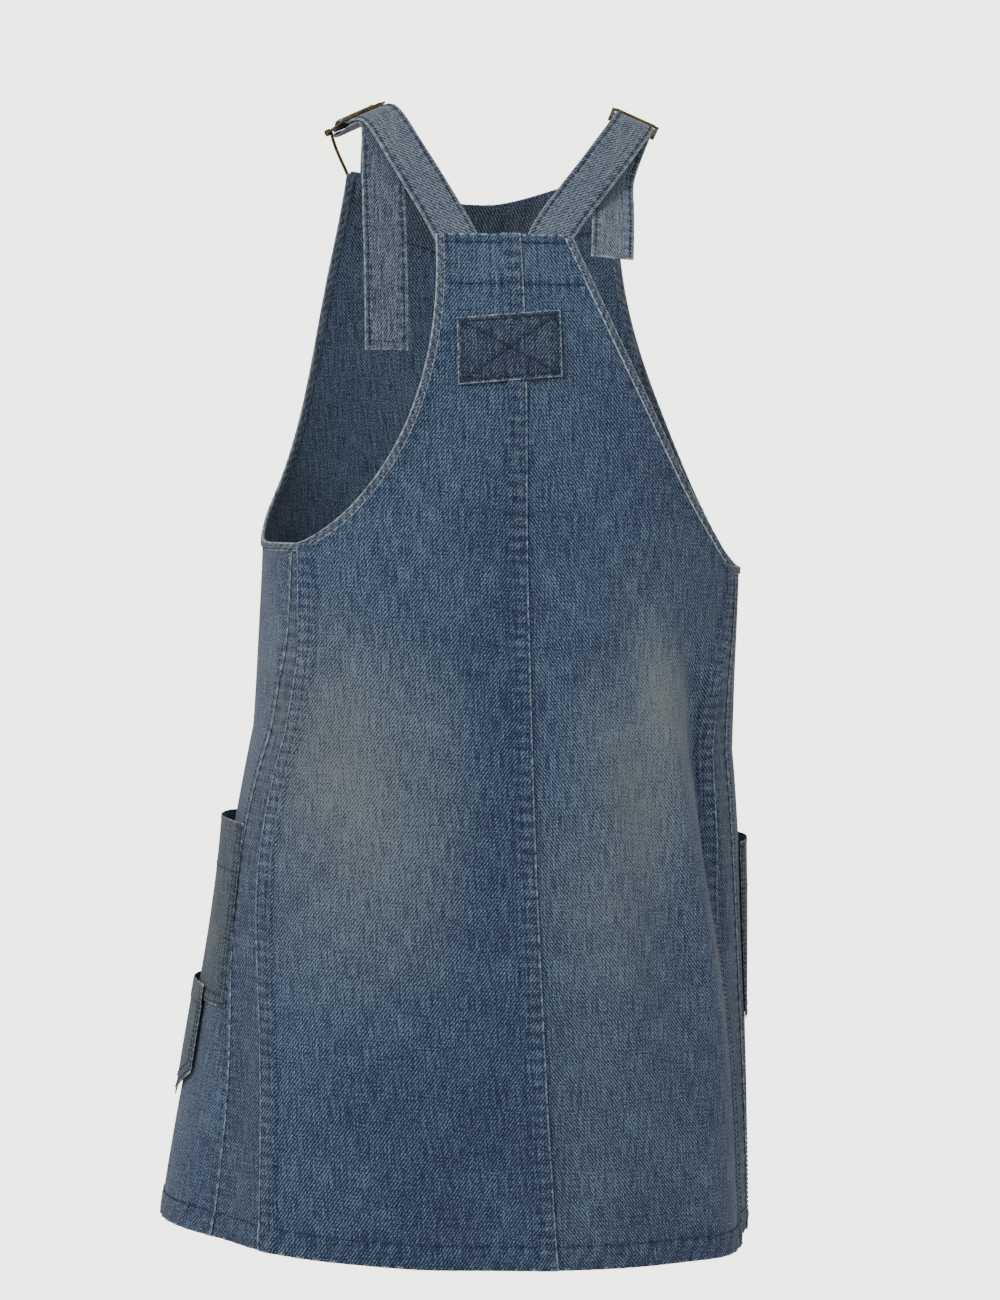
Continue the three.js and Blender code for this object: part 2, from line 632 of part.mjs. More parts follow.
// A slide: a stamped frame with two windows and a bar between them, lying on its strap.
function addSlide(name, side) {
  const shape = roundedRectangle(new THREE.Shape(), SLIDE.across, SLIDE.along, SLIDE.radius);
  const windowAlong = (SLIDE.along - 3 * SLIDE.bar) / 2;
  for (const way of [-1, 1]) {
    const middle = (way * (windowAlong + SLIDE.bar)) / 2;
    shape.holes.push(roundedRectangle(new THREE.Path(), SLIDE.across - 2 * SLIDE.cheek, windowAlong, 1.2, middle));
  }
  const solid = new THREE.ExtrudeGeometry(shape, { depth: SLIDE.thick, bevelEnabled: false, curveSegments: 3 });
  solid.translate(0, 0, SLIDE_LIFT - SLIDE.thick / 2);
  const frame = slideFrame(side);
  addMesh(name, solid, COLOURS.brass, true, frame);
  dress.add(frame);
}

// The wire hook, hinged on the slide's front edge: its two legs close to a round end that holds the button.
class HookCurve extends THREE.Curve {
  constructor(length) {
    super();
    this.length = length;
  }

  getPoint(t) {
    const half = SLIDE.across / 2 - 5;
    const round = BUTTON.shank / 2 + WIRE / 2 + 2 * GAP;
    const s = Math.abs(2 * t - 1);
    const way = t < 0.5 ? -1 : 1;
    const legs = 0.22;
    if (s < legs) {
      const a = (s / legs) * (Math.PI / 2);
      return new THREE.Vector3(way * round * Math.sin(a), -this.length - round * Math.cos(a), 0);
    }
    const up = (s - legs) / (1 - legs);
    return new THREE.Vector3(way * lerp(round, half, smoothstep(up, 0, 1)), lerp(-this.length, 0, up), 0);
  }
}

// A hook's own frame: its hinge line is x, and the button's shank stands at -y, at the length given.
function hookFrame(side) {
  const slide = slideFrame(side);
  const hinge = new THREE.Group();
  hinge.position.set(0, -SLIDE.along / 2 - WIRE / 2 - GAP, SLIDE_LIFT);
  slide.add(hinge);
  slide.updateMatrixWorld(true);
  const reach = hinge.worldToLocal(buttonSeat(side));
  hinge.rotation.x = Math.atan2(-reach.z, -reach.y);
  slide.updateMatrixWorld(true);
  return { slide, hinge, length: Math.hypot(reach.y, reach.z) };
}

function addHook(name, side) {
  const { slide, hinge, length } = hookFrame(side);
  const ring = new THREE.Shape().absarc(0, 0, WIRE / 2, 0, 2 * Math.PI);
  const options = { steps: 30, extrudePath: new HookCurve(length), bevelEnabled: false, curveSegments: 4 };
  addMesh(name, new THREE.ExtrudeGeometry(ring, options), COLOURS.brass, true, hinge);
  dress.add(slide);
}

// A button stands square to its hook: a group whose y runs out along the shank from the wire's level.
function buttonFrame(side) {
  const { hinge } = hookFrame(side);
  const out = new THREE.Vector3(0, 0, 1).transformDirection(hinge.matrixWorld);
  const frame = new THREE.Group();
  frame.position.copy(buttonSeat(side));
  frame.quaternion.setFromUnitVectors(new THREE.Vector3(0, 1, 0), out);
  frame.updateMatrixWorld(true);
  return frame;
}

const turned = (outline, sides) => new THREE.LatheGeometry(outline.map(([x, y]) => new THREE.Vector2(x, y)), sides);

// The bib button: a cap that turns on its tack, whose shank goes through the hook's end and the cloth.
function addButton(side, label) {
  const frame = buttonFrame(side);
  const r = BUTTON.cap / 2;
  const low = WIRE / 2 + GAP;
  const socket = 0.9;
  const pin = BUTTON.shank / 2 - 0.6;
  const cap = [
    [0, low + socket],
    [pin + GAP, low + socket],
    [pin + GAP, low],
    [r - 0.8, low],
    [r, low + 0.8],
    [r - 1.2, low + BUTTON.capThick - 0.9],
    [r - 4, low + BUTTON.capThick],
    [0, low + BUTTON.capThick],
  ];
  addMesh(label + "_button_cap", turned(cap, 20), COLOURS.brass, true, frame);
  const foot = low - BUTTON.length;
  const tack = [
    [0, foot],
    [BUTTON.tack / 2, foot],
    [BUTTON.tack / 2, foot + BUTTON.tackThick],
    [BUTTON.shank / 2, foot + BUTTON.tackThick],
    [BUTTON.shank / 2, low - GAP],
    [pin, low - GAP],
    [pin, low + socket - GAP],
    [0, low + socket - GAP],
  ];
  addMesh(label + "_button_tack", turned(tack, 16), COLOURS.brass, true, frame);
  dress.add(frame);
}

// The hole that a button's shank needs through the bib and its facing.
function buttonHole(side) {
  const radius = BUTTON.shank / 2 + BUTTON.play;
  const hole = new THREE.CylinderGeometry(radius, radius, 2 * BUTTON.length, 12);
  return hole.applyMatrix4(buttonFrame(side).matrixWorld);
}

// ---- Assembly ---------------------------------------------------------------------------------------
addBackPanel("back_left_panel", SIDES.left);
addBackPanel("back_right_panel", SIDES.right);
addYokeFacing();
addPatch();
let bibFacing = bibFacingGeometry();
for (const [label, side] of Object.entries(SIDES)) {
  addSidePanel("side_" + label + "_panel", side);
  addMesh("front_" + label + "_panel", cut(frontPanelGeometry(side), buttonHole(side)), COLOURS.denim);
  bibFacing = cut(bibFacing, buttonHole(side));
  addBinding(label + "_armhole_binding", side);
  addBigPocket(label + "_pocket", side);
  addStrap(label + "_strap", side);
  addFold(label + "_strap_fold", side);
  addTail(label + "_strap_tail", side);
  addSlide(label + "_slide", side);
  addHook(label + "_hook", side);
  addButton(side, label);
}
addMesh("bib_facing", bibFacing, COLOURS.dark);
addSmallPocket();

export default dress;
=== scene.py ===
"""Denim pinafore dress with dungaree straps, hanging as it is worn: cloth, thread and metal."""
import logging
import math
from dataclasses import dataclass, field
from enum import Enum
from typing import Callable, Iterable, Sequence

import bpy
import numpy as np
from mathutils import Euler, Matrix, Vector


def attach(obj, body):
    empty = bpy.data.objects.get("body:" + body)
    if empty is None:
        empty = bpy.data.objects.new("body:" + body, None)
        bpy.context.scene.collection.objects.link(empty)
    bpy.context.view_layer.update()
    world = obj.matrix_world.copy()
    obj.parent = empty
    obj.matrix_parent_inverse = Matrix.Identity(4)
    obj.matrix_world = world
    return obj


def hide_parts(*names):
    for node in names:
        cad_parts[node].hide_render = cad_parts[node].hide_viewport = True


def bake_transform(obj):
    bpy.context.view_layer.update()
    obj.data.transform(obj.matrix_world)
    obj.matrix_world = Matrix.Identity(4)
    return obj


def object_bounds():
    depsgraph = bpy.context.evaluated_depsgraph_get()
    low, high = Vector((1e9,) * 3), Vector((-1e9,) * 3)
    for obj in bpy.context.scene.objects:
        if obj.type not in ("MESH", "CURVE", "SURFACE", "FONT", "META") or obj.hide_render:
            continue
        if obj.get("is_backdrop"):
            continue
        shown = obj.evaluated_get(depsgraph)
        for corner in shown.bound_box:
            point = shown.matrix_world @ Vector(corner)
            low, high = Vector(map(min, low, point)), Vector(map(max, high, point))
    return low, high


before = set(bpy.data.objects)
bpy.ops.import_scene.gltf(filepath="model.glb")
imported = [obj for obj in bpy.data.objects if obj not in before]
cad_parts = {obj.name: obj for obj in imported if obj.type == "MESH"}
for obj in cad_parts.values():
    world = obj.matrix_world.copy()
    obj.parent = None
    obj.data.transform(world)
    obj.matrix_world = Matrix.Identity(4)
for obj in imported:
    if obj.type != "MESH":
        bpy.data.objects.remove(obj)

LOG = logging.getLogger("pinafore")
MM = 0.001
DENIM = 1.0
STRAP_THICK = 2.0
GAP = 0.3
SEAM_LAP = 12.0
LAP_LIFT = DENIM + 2 * GAP
BINDING_WIDTH = 6.5
BINDING_THICK = 3.0
STRAP_WIDTH = 32.0
EDGE_TUCK = 3.0
STRAP_BURY = (BINDING_THICK - DENIM) / 2 + STRAP_THICK / 2 + 6 * GAP  # depth of a strap's sewn end
NARROWEST_SHEET = 0.0102  # metres: stands in for the binding, whose bar is narrower than a sheet may be
YOKE_ROWS = (6.5, 38.0)  # stitch rows below the yoke's top edge
BIB_ROWS = (6.5, 41.0)  # stitch rows below the bib's top edge
POCKET_ROWS = (2.5, 9.0)  # stitch rows in from a pocket's edge
SEAM_ROWS = (1.6, 9.8)  # stitch rows across a felled seam
BACK = ("back_left_cloth", "back_right_cloth")
FRONT = ("front_left_cloth", "front_right_cloth")
FACING_INSET = 8.3  # how far a facing stops short of the armholes' edges
STITCH_SAMPLES = 20
Grid = np.ndarray


class Side(Enum):
    """The wearer's left (+X) or right (-X)."""

    LEFT = 1
    RIGHT = -1

    @property
    def label(self) -> str:
        """The side's word, as in the names of pieces."""
        return self.name.lower()


def smoothstep(x: Grid | float, low: float, high: float) -> Grid:
    """0 below low, 1 above high, and an even S between them."""
    t = np.clip((np.asarray(x, float) - low) / (high - low), 0, 1)
    return t * t * (3 - 2 * t)


def lerp(a: Grid | float, b: Grid | float, t: Grid | float) -> Grid:
    """The value a share t of the way from a to b."""
    return a + (b - a) * t


def unit(v: Grid) -> Grid:
    """Vectors along the last axis, made one long."""
    return v / np.maximum(np.linalg.norm(v, axis=-1, keepdims=True), 1e-9)


def beside(distance: Grid, middle: float, reach: float) -> Grid:
    """1 on a line and falling off to both sides of it."""
    return np.exp(-(((distance - middle) / reach) ** 2))


def shares(count: int, ends: bool = True) -> Grid:
    """Even shares from 0 to 1 in one row, with or without the last."""
    return np.linspace(0, 1, count, endpoint=ends)[None]


def share_grid(columns: int, rows: int) -> tuple[Grid, Grid]:
    """Even shares across and down a piece, a value for each of its points."""
    return tuple(np.meshgrid(np.linspace(0, 1, columns), np.linspace(0, 1, rows)))


def distances(line: Grid) -> Grid:
    """How far each point of a line lies along it."""
    return np.concatenate([[0], np.cumsum(np.linalg.norm(np.diff(line, axis=0), axis=1))])


def resample(at: Grid, far: Grid, values: Grid) -> Grid:
    """Three-part values along a line, read at other distances along it."""
    return np.stack([np.interp(at, far, values[:, k]) for k in range(3)], -1)


@dataclass(frozen=True)
class Fold:
    """A soft vertical fold: a ridge or valley at an angle from the back that grows towards the hem."""

    angle: float
    width: float
    depth: float
    start: float


@dataclass(frozen=True)
class Drag:
    """A slanting crease from one place to another, each an angle and a height, with its width and depth."""

    top: tuple[float, float]
    foot: tuple[float, float]
    width: float
    depth: float


@dataclass(frozen=True)
class Wave:
    """A part of the cloth's small unevenness: waves round the dress, their slant down it, phase and size."""

    across: float
    down: float
    phase: float
    size: float


@dataclass(frozen=True)
class HungCloth:
    """The surface that the dress hangs in, in millimetres, by angle from the centre back and height."""

    length: float = 855.0
    armhole: float = 338.0
    yoke: float = 103.0
    flare: float = 480.0
    chest_half: float = 182.0
    hem_half: float = 220.0
    blade: float = 300.0
    back: tuple[float, float] = (112.0, 150.0)
    front: tuple[float, float] = (120.0, 160.0)
    hem_rise: float = 16.0
    power: float = 2.3
    lean: tuple[float, float] = (-9.0, 22.0)
    turn: tuple[float, float] = (3.0, -10.0)
    sway: float = 1.25
    side_drop: float = 0.05
    per_degree: float = 3.3
    folds: tuple[Fold, ...] = (
        Fold(66, 10, -8, 0.3),
        Fold(96, 16, 9, 0.25),
        Fold(-42, 9, 6, 0.1),
        Fold(-62, 9, -8, 0.1),
        Fold(-92, 13, 5, 0.2),
        Fold(20, 10, 4, 0.5),
        Fold(150, 14, 6, 0.4),
        Fold(-150, 14, 6, 0.4),
    )
    drags: tuple[Drag, ...] = (
        Drag((-44, -360), (-58, -700), 15, -8.0),
        Drag((-34, -380), (-46, -720), 17, 6.0),
        Drag((46, -352), (36, -470), 7, -1.6),
        Drag((53, -350), (50, -450), 6, 1.6),
        Drag((60, -352), (60, -440), 6, -1.8),
        Drag((34, -400), (22, -640), 18, 3.0),
        Drag((-18, -440), (-24, -760), 20, 3.2),
        Drag((12, -520), (15, -840), 20, -3.0),
    )
    waves: tuple[Wave, ...] = (
        Wave(4, 95, 0.3, 0.9),
        Wave(7, -70, 1.7, 0.6),
        Wave(11, 52, 4.1, 0.45),
        Wave(17, -38, 2.2, 0.3),
    )

    def skirt(self, z: Grid) -> Grid:
        """0 at the armholes' bottom, 1 at the hem."""
        return np.clip((-z - self.armhole) / (self.length - self.armhole), 0, 1)

    def creases(self, angle: Grid, z: Grid) -> Grid:
        """How far folds, slanting creases and the cloth's small unevenness push it out.

        Args:
            angle: degrees from the centre back.
            z: height.

        Returns:
            Millimetres outwards.
        """
        share = self.skirt(z)
        out = np.zeros(np.broadcast(angle, z).shape)
        for fold in self.folds:
            away = (np.mod(angle - fold.angle + 180, 360) - 180) / fold.width
            out = out + fold.depth * np.exp(-away * away) * smoothstep(share, fold.start, 1)
        x = angle * self.per_degree
        for drag in self.drags:
            ax, az = drag.top[0] * self.per_degree, drag.top[1]
            bx, bz = drag.foot[0] * self.per_degree, drag.foot[1]
            long = math.hypot(bx - ax, bz - az)
            dx, dz = (bx - ax) / long, (bz - az) / long
            along = ((x - ax) * dx + (z - az) * dz) / long
            away = ((x - ax) * dz - (z - az) * dx) / drag.width
            ends = smoothstep(along, -0.05, 0.3) * (1 - smoothstep(along, 0.6, 1.1))
            out = out + drag.depth * np.exp(-away * away) * ends
        if not self.folds:
            return out
        uneven = 0.0
        for wave in self.waves:
            uneven = uneven + wave.size * np.cos(np.radians(angle) * wave.across + z / wave.down + wave.phase)
        return out + uneven * smoothstep(-z, 150, 420)

    def depth(self, z: Grid, full: float, hem: float) -> Grid:
        """Depth from the shoulder line: a dome down to the blades, then a straight slope to the hem."""
        above = np.clip((z + self.blade) / self.blade, 0, 0.995)
        below = np.clip((-z - self.blade) / (self.length - self.blade), 0, 1.05)
        return full * (1 - above**2.4) ** 0.9 + (hem - full) * below

    def point(self, angle: Grid, z: Grid) -> Grid:
        """Points of the cloth's inner face, in millimetres, with x, y and z along a last axis."""
        angle, z = np.broadcast_arrays(np.asarray(angle, float), np.asarray(z, float))
        share = self.skirt(z)
        chest = smoothstep(-z, self.yoke, self.armhole)
        swayed = share**self.sway
        u = np.radians(angle + self.turn[0] * chest + (self.turn[1] - self.turn[0]) * swayed)
        s, c = np.sin(u), np.cos(u)
        long = (np.abs(s) ** self.power + np.abs(c) ** self.power) ** (-1 / self.power)
        crease = self.creases(angle, z)
        flare = np.clip((-z - self.flare) / (self.length - self.flare), 0, 1.05) ** 0.9
        wide = lerp(self.chest_half, self.hem_half, flare) + crease
        deep = np.where(c > 0, self.depth(z, *self.back), self.depth(z, *self.front)) + crease
        lean = self.lean[0] * chest + (self.lean[1] - self.lean[0]) * swayed
        x = lean + wide * long * s
        rise = self.hem_rise * (1 - c) * share / 2
        drop = self.side_drop * x * smoothstep(-z, self.yoke * 2, self.armhole)
        return np.stack([x, deep * long * c, z + rise + drop], -1)

    def normal(self, angle: Grid, z: Grid) -> Grid:
        """Outward directions of the cloth."""
        across = self.point(angle + 0.2, z) - self.point(angle - 0.2, z)
        down = self.point(angle, z - 0.5) - self.point(angle, z + 0.5)
        return unit(np.cross(across, down))

    def on(self, angle: Grid, z: Grid, lift: Grid | float = 0.0) -> Grid:
        """Points lifted off the cloth's inner face along its outward direction."""
        return self.point(angle, z) + self.normal(angle, z) * np.asarray(lift, float)[..., None]

    def degrees(self, length: float, angle: Grid, z: Grid) -> Grid:
        """How many degrees a length across the cloth takes up at a place."""
        step = np.linalg.norm(self.point(angle + 0.2, z) - self.point(angle - 0.2, z), axis=-1)
        return length * 0.4 / step


CLOTH = HungCloth()
PLAIN = HungCloth(folds=(), drags=())  # the same dress without creases, which its pieces are cut to


@dataclass(frozen=True)
class Armhole:
    """One armhole's edge, and the seams beside it, in degrees from the centre back before its side's sign."""

    side: Side
    sweep: float
    back_corner: float = 16.0
    bib_corner: float = 146.0
    bib_drop: float = 44.0
    bib_sag: float = 22.0
    seam: float = 52
    level: float = CLOTH.armhole + EDGE_TUCK

    def side_seam(self, z: Grid) -> Grid:
        """The side seam's angle at a height."""
        if self.side is Side.LEFT:
            return self.seam + 8 * beside(z, -580, 120) - 4 * beside(z, -400, 80)
        return self.seam + 10 * beside(z, -345, 60)

    def front_seam(self, z: Grid) -> Grid:
        """The side-front seam's angle at a height."""
        return self.side_seam(z) + lerp(7, 20, CLOTH.skirt(z) ** 0.6)

    def outline(self, inset: float, steps: int = 150) -> Grid:
        """The edge from the yoke's corner under the arm to the bib's corner, moved into the cloth.

        Args:
            inset: millimetres moved in.
            steps: points on each of its two curves.

        Returns:
            Angles and heights, a row for each point.
        """
        low = float(self.front_seam(np.array(-CLOTH.armhole)))
        t = 1 - (1 - np.linspace(0, 1, steps + 1)) ** 2.4
        back = lerp(low, self.back_corner, (1 - t**self.sweep) ** 0.55)
        back = np.stack([back, -lerp(CLOTH.yoke, CLOTH.armhole, t)], -1)
        front = lerp(low, self.bib_corner, (1 - t**1.25) ** 0.25)
        front = np.stack([front, -lerp(self.bib_drop, CLOTH.armhole, t)], -1)
        line = np.concatenate([back, front[::-1][1:]])
        ahead = np.concatenate([line[1:], line[-1:]])
        behind = np.concatenate([line[:1], line[:-1]])
        per = 1 / CLOTH.degrees(1, self.side.value * line[:, 0], line[:, 1])
        along = np.stack([(ahead[:, 0] - behind[:, 0]) * per, ahead[:, 1] - behind[:, 1]], -1)
        size = np.hypot(along[:, 0], along[:, 1])
        angle = line[:, 0] + along[:, 1] * inset / size / per
        return np.stack([angle, line[:, 1] - along[:, 0] * inset / size], -1)

    def edge_angle(self, z: Grid, on_back: bool, inset: float = EDGE_TUCK) -> Grid:
        """Where the panels' edge crosses a height, on the back or on the front."""
        line = self.outline(inset)
        line = line if on_back else line[::-1]
        line = line[: int(np.argmin(line[:, 1])) + 1]
        fall = np.maximum.accumulate(-line[:, 1])
        return np.interp(-np.asarray(z, float), fall, line[:, 0])

    def edge_height(self, angle: Grid, inset: float = EDGE_TUCK) -> Grid:
        """How high the panels' edge lies at an angle."""
        line = self.outline(inset)
        return np.interp(angle, np.maximum.accumulate(line[:, 0]), line[:, 1])

    def sag(self, angle: Grid) -> Grid:
        """How far the bib's top dips at an angle, from nothing at its corners."""
        return self.bib_sag * smoothstep(180 - np.abs(180 - angle), self.bib_corner, 180)

    def heights(self, top: float, above: int, below: int) -> Grid:
        """Heights of a panel's rows, closer at the top and at the armholes' bottom."""
        t = np.linspace(0, 1, above + 1)[:-1]
        upper = -lerp(top, self.level, (1 - np.cos(np.pi * t)) / 2)
        lower = -lerp(self.level, CLOTH.length, np.linspace(0, 1, below + 1) ** 1.04)
        return np.concatenate([upper, lower])


ARMHOLES = {Side.LEFT: Armhole(Side.LEFT, 2.2), Side.RIGHT: Armhole(Side.RIGHT, 1.0)}


# ---- Finishes ----
def linear(hex_colour: str) -> tuple[float, float, float, float]:
    """A colour written as six hex digits, as a shader takes it."""
    parts = [int(hex_colour[k : k + 2], 16) / 255 for k in (0, 2, 4)]
    r, g, b = [c / 12.92 if c <= 0.04045 else ((c + 0.055) / 1.055) ** 2.4 for c in parts]
    return (r, g, b, 1.0)


class Recipe:
    """The nodes of one material, added and joined in order."""

    def __init__(self, name: str) -> None:
        """Starts an empty material."""
        self.material = bpy.data.materials.new(name)
        self.material.use_nodes = True
        self.tree = self.material.node_tree
        self.tree.nodes.clear()

    def node(self, kind: str, settings: dict | None = None, **inputs: object) -> bpy.types.Node:
        """Adds a node.

        Args:
            kind: its Blender type.
            settings: its properties by name.
            **inputs: sockets or values by input name, with _ for a space, or inN for input N.

        Returns:
            The node.
        """
        node = self.tree.nodes.new(kind)
        for key, value in (settings or {}).items():
            setattr(node, key, value)
        for key, value in inputs.items():
            numbered = key[:2] == "in" and key[2:].isdigit()
            socket = node.inputs[int(key[2:]) if numbered else key.replace("_", " ")]
            if isinstance(value, bpy.types.NodeSocket):
                self.tree.links.new(value, socket)
            else:
                socket.default_value = value
        return node

    def math(self, operation: str, a: object, b: object = 0.0) -> bpy.types.NodeSocket:
        """One sum of two numbers or sockets."""
        return self.node("ShaderNodeMath", {"operation": operation}, in0=a, in1=b).outputs[0]

    def clamp(self, value: object) -> bpy.types.NodeSocket:
        """A value kept from 0 to 1."""
        return self.node("ShaderNodeClamp", None, in0=value).outputs[0]

    def scaled(self, vector: object, scale: Sequence[float]) -> bpy.types.NodeSocket:
        """A vector stretched along each axis."""
        return self.node("ShaderNodeMapping", None, Vector=vector, Scale=tuple(scale)).outputs[0]

    def noise(self, vector: object, scale: float, detail: float = 2.0) -> bpy.types.NodeSocket:
        """A noise value from 0 to 1."""
        node = self.node("ShaderNodeTexNoise", None, Vector=vector, Scale=scale, Detail=detail, Roughness=0.6)
        return node.outputs[0]

    def mix(self, share: object, low: object, high: object) -> bpy.types.NodeSocket:
        """A blend of two colours."""
        node = self.tree.nodes.new("ShaderNodeMix")
        node.data_type = "RGBA"
        for index, value in ((0, share), (6, low), (7, high)):
            if isinstance(value, bpy.types.NodeSocket):
                self.tree.links.new(value, node.inputs[index])
            else:
                node.inputs[index].default_value = value
        return node.outputs[2]

    def attribute(self, name: str) -> bpy.types.NodeSocket:
        """A number stored on the mesh."""
        return self.node("ShaderNodeAttribute", {"attribute_name": name}).outputs["Fac"]

    def finish(
        self, colour: object, roughness: object, height: object, bump: float, **shader: float
    ) -> bpy.types.Material:
        """Adds the shader and the output.

        Args:
            colour: base colour.
            roughness: roughness.
            height: bump height in metres, or None.
            bump: the bump's strength.
            **shader: other inputs of the shader.

        Returns:
            The finished material.
        """
        bsdf = self.node("ShaderNodeBsdfPrincipled", None, Base_Color=colour, Roughness=roughness, **shader)
        if height is not None:
            relief = self.node("ShaderNodeBump", None, Strength=bump, Distance=1.0, Height=height)
            self.tree.links.new(relief.outputs[0], bsdf.inputs["Normal"])
        self.node("ShaderNodeOutputMaterial", None, Surface=bsdf.outputs[0])
        return self.material


@dataclass(frozen=True)
class DenimFinish:
    """Washed denim: a twill of dark warp and pale weft, with faded places, worn edges and painted shade
    beside seams and stitch rows on the mesh.
    """

    name: str
    deep: str = "071839"
    pale: str = "6b8296"
    tan: str = "6a6c63"
    worn: str = "98a3ab"
    pitch: float = 0.0020
    twill: float = 0.62
    speckle: float = 2.7

    def make(self) -> bpy.types.Material:
        """Builds the material from its colours and sizes."""
        r = Recipe(self.name)
        uv = r.node("ShaderNodeUVMap", {"uv_map": "weave"}).outputs[0]
        split = r.node("ShaderNodeSeparateXYZ", None, in0=uv)
        wander = r.math("MULTIPLY", r.noise(uv, 260.0, 2.0), 1.6)
        turn = 2 * math.pi / self.pitch
        across = r.math("MULTIPLY", split.outputs[0], turn * 0.80)
        down = r.math("MULTIPLY", split.outputs[1], turn * 0.60)
        wave = r.math("SINE", r.math("ADD", r.math("ADD", across, down), wander))
        fine = r.math("SUBTRACT", r.noise(uv, 780.0, 3.0), 0.5)
        slub = r.math("SUBTRACT", r.noise(r.scaled(uv, (900.0, 46.0, 1.0)), 1.0, 2.0), 0.5)
        weft = r.math("SUBTRACT", r.noise(r.scaled(uv, (60.0, 800.0, 1.0)), 1.0, 2.0), 0.5)
        mottle = r.math("SUBTRACT", r.noise(uv, 16.0, 4.0), 0.5)
        # The tone holds the faded places and the painted shade beside seams, laps and stitch rows.
        tone = r.attribute("tone")
        grain = r.math("MULTIPLY", wave, self.twill * 0.5)
        for source, amount in ((fine, self.speckle), (slub, 1.5), (weft, 0.7), (mottle, 0.35)):
            grain = r.math("ADD", grain, r.math("MULTIPLY", source, amount))
        level = r.clamp(r.math("ADD", tone, grain))
        colour = r.mix(level, linear(self.deep), linear(self.pale))
        tanned = r.clamp(r.math("MULTIPLY", r.attribute("tan"), r.math("ADD", level, 0.25)))
        colour = r.mix(tanned, colour, linear(self.tan))
        patchy = r.math("ADD", r.attribute("wear"), r.math("MULTIPLY", r.noise(uv, 210.0, 4.0), 2.0))
        rubbed = r.clamp(r.math("MULTIPLY", r.math("SUBTRACT", patchy, 1.45), 1.5))
        colour = r.mix(rubbed, colour, linear(self.worn))
        height = r.math("ADD", r.math("MULTIPLY", wave, 0.00009), r.math("MULTIPLY", fine, 0.0003))
        height = r.math("ADD", height, r.math("MULTIPLY", slub, 0.0002))
        sheen = {"Sheen_Weight": 0.12, "Sheen_Roughness": 0.6, "Specular_IOR_Level": 0.25}
        return r.finish(colour, 0.92, height, 0.7, **sheen)


@dataclass(frozen=True)
class ThreadFinish:
    """Dark cotton thread, twisted."""

    name: str = "stitching_thread"
    dark: str = "16202f"
    light: str = "34445c"

    def make(self) -> bpy.types.Material:
        """Builds the material from its colours."""
        r = Recipe(self.name)
        place = r.node("ShaderNodeTexCoord").outputs["Object"]
        colour = r.mix(r.noise(place, 420.0, 2.0), linear(self.dark), linear(self.light))
        height = r.math("MULTIPLY", r.noise(place, 3000.0, 1.0), 0.0001)
        return r.finish(colour, 0.8, height, 0.6, Specular_IOR_Level=0.3)


@dataclass(frozen=True)
class BrassFinish:
    """Antique brass: stained nearly black in patches and rubbed bright in flecks."""

    name: str
    dark: str = "2e2519"
    mid: str = "6a5735"
    bright: str = "b59a63"

    def make(self) -> bpy.types.Material:
        """Builds the material from its colours."""
        r = Recipe(self.name)
        place = r.node("ShaderNodeTexCoord").outputs["Object"]
        stain = r.noise(place, 160.0, 5.0)
        fleck = r.noise(place, 900.0, 3.0)
        stained = r.clamp(r.math("MULTIPLY", r.math("SUBTRACT", stain, 0.3), 2.4))
        colour = r.mix(stained, linear(self.dark), linear(self.mid))
        rub = r.clamp(r.math("MULTIPLY", r.math("SUBTRACT", fleck, 0.52), 5.0))
        colour = r.mix(rub, colour, linear(self.bright))
        rough = r.math("ADD", r.math("MULTIPLY", stain, 0.35), 0.22)
        return r.finish(colour, rough, r.math("MULTIPLY", fleck, 0.0004), 0.5, Metallic=1.0)


@dataclass
class Wardrobe:
    """Every finish, made once, by the record's slot."""

    made: dict[str, bpy.types.Material] = field(default_factory=dict)

    def prepare(self) -> None:
        """Makes every material."""
        for finish in (
            DenimFinish("panel_denim"),
            DenimFinish("strap_denim", pale="7d8c98"),
            DenimFinish("binding_denim", pale="788792"),
            DenimFinish("pocket_denim", deep="091a30", pale="66797f"),
            DenimFinish("dark_denim", deep="08152e", pale="66788a"),
            ThreadFinish(),
            BrassFinish("brass"),
        ):
            self.made[finish.name] = finish.make()


WARDROBE = Wardrobe()


# ---- Cloth meshes ----
@dataclass
class Skin:
    """Rows and columns of one piece of cloth: both faces, and how faded, tanned and rubbed each place is,
    with painted shade in its tone.
    """

    outer: Grid
    inner: Grid
    tone: Grid
    tan: Grid
    wear: Grid
    inside_tone: float = 0.10
    flat: Grid | None = None
    cut: tuple[float, float, float] = (0.0, 0.0, 0.0)

    def sizes(self) -> tuple[float, float, float]:
        """The cut's width and length in metres and its area in square metres."""
        width, length, area = self.cut
        return width * MM, length * MM, area * MM * MM

    def weave(self) -> Grid:
        """Where each place lies in the flat cloth, in metres: across and up."""
        if self.flat is not None:
            return self.flat * MM
        p = self.outer
        across = np.cumsum(np.linalg.norm(np.diff(p, axis=1), axis=-1), axis=1)
        across = np.concatenate([np.zeros((p.shape[0], 1)), across], 1)
        down = np.cumsum(np.linalg.norm(np.diff(p, axis=0), axis=-1), axis=0)
        down = np.concatenate([np.zeros((1, p.shape[1])), down], 0)
        return np.stack([across, -down], -1) * MM


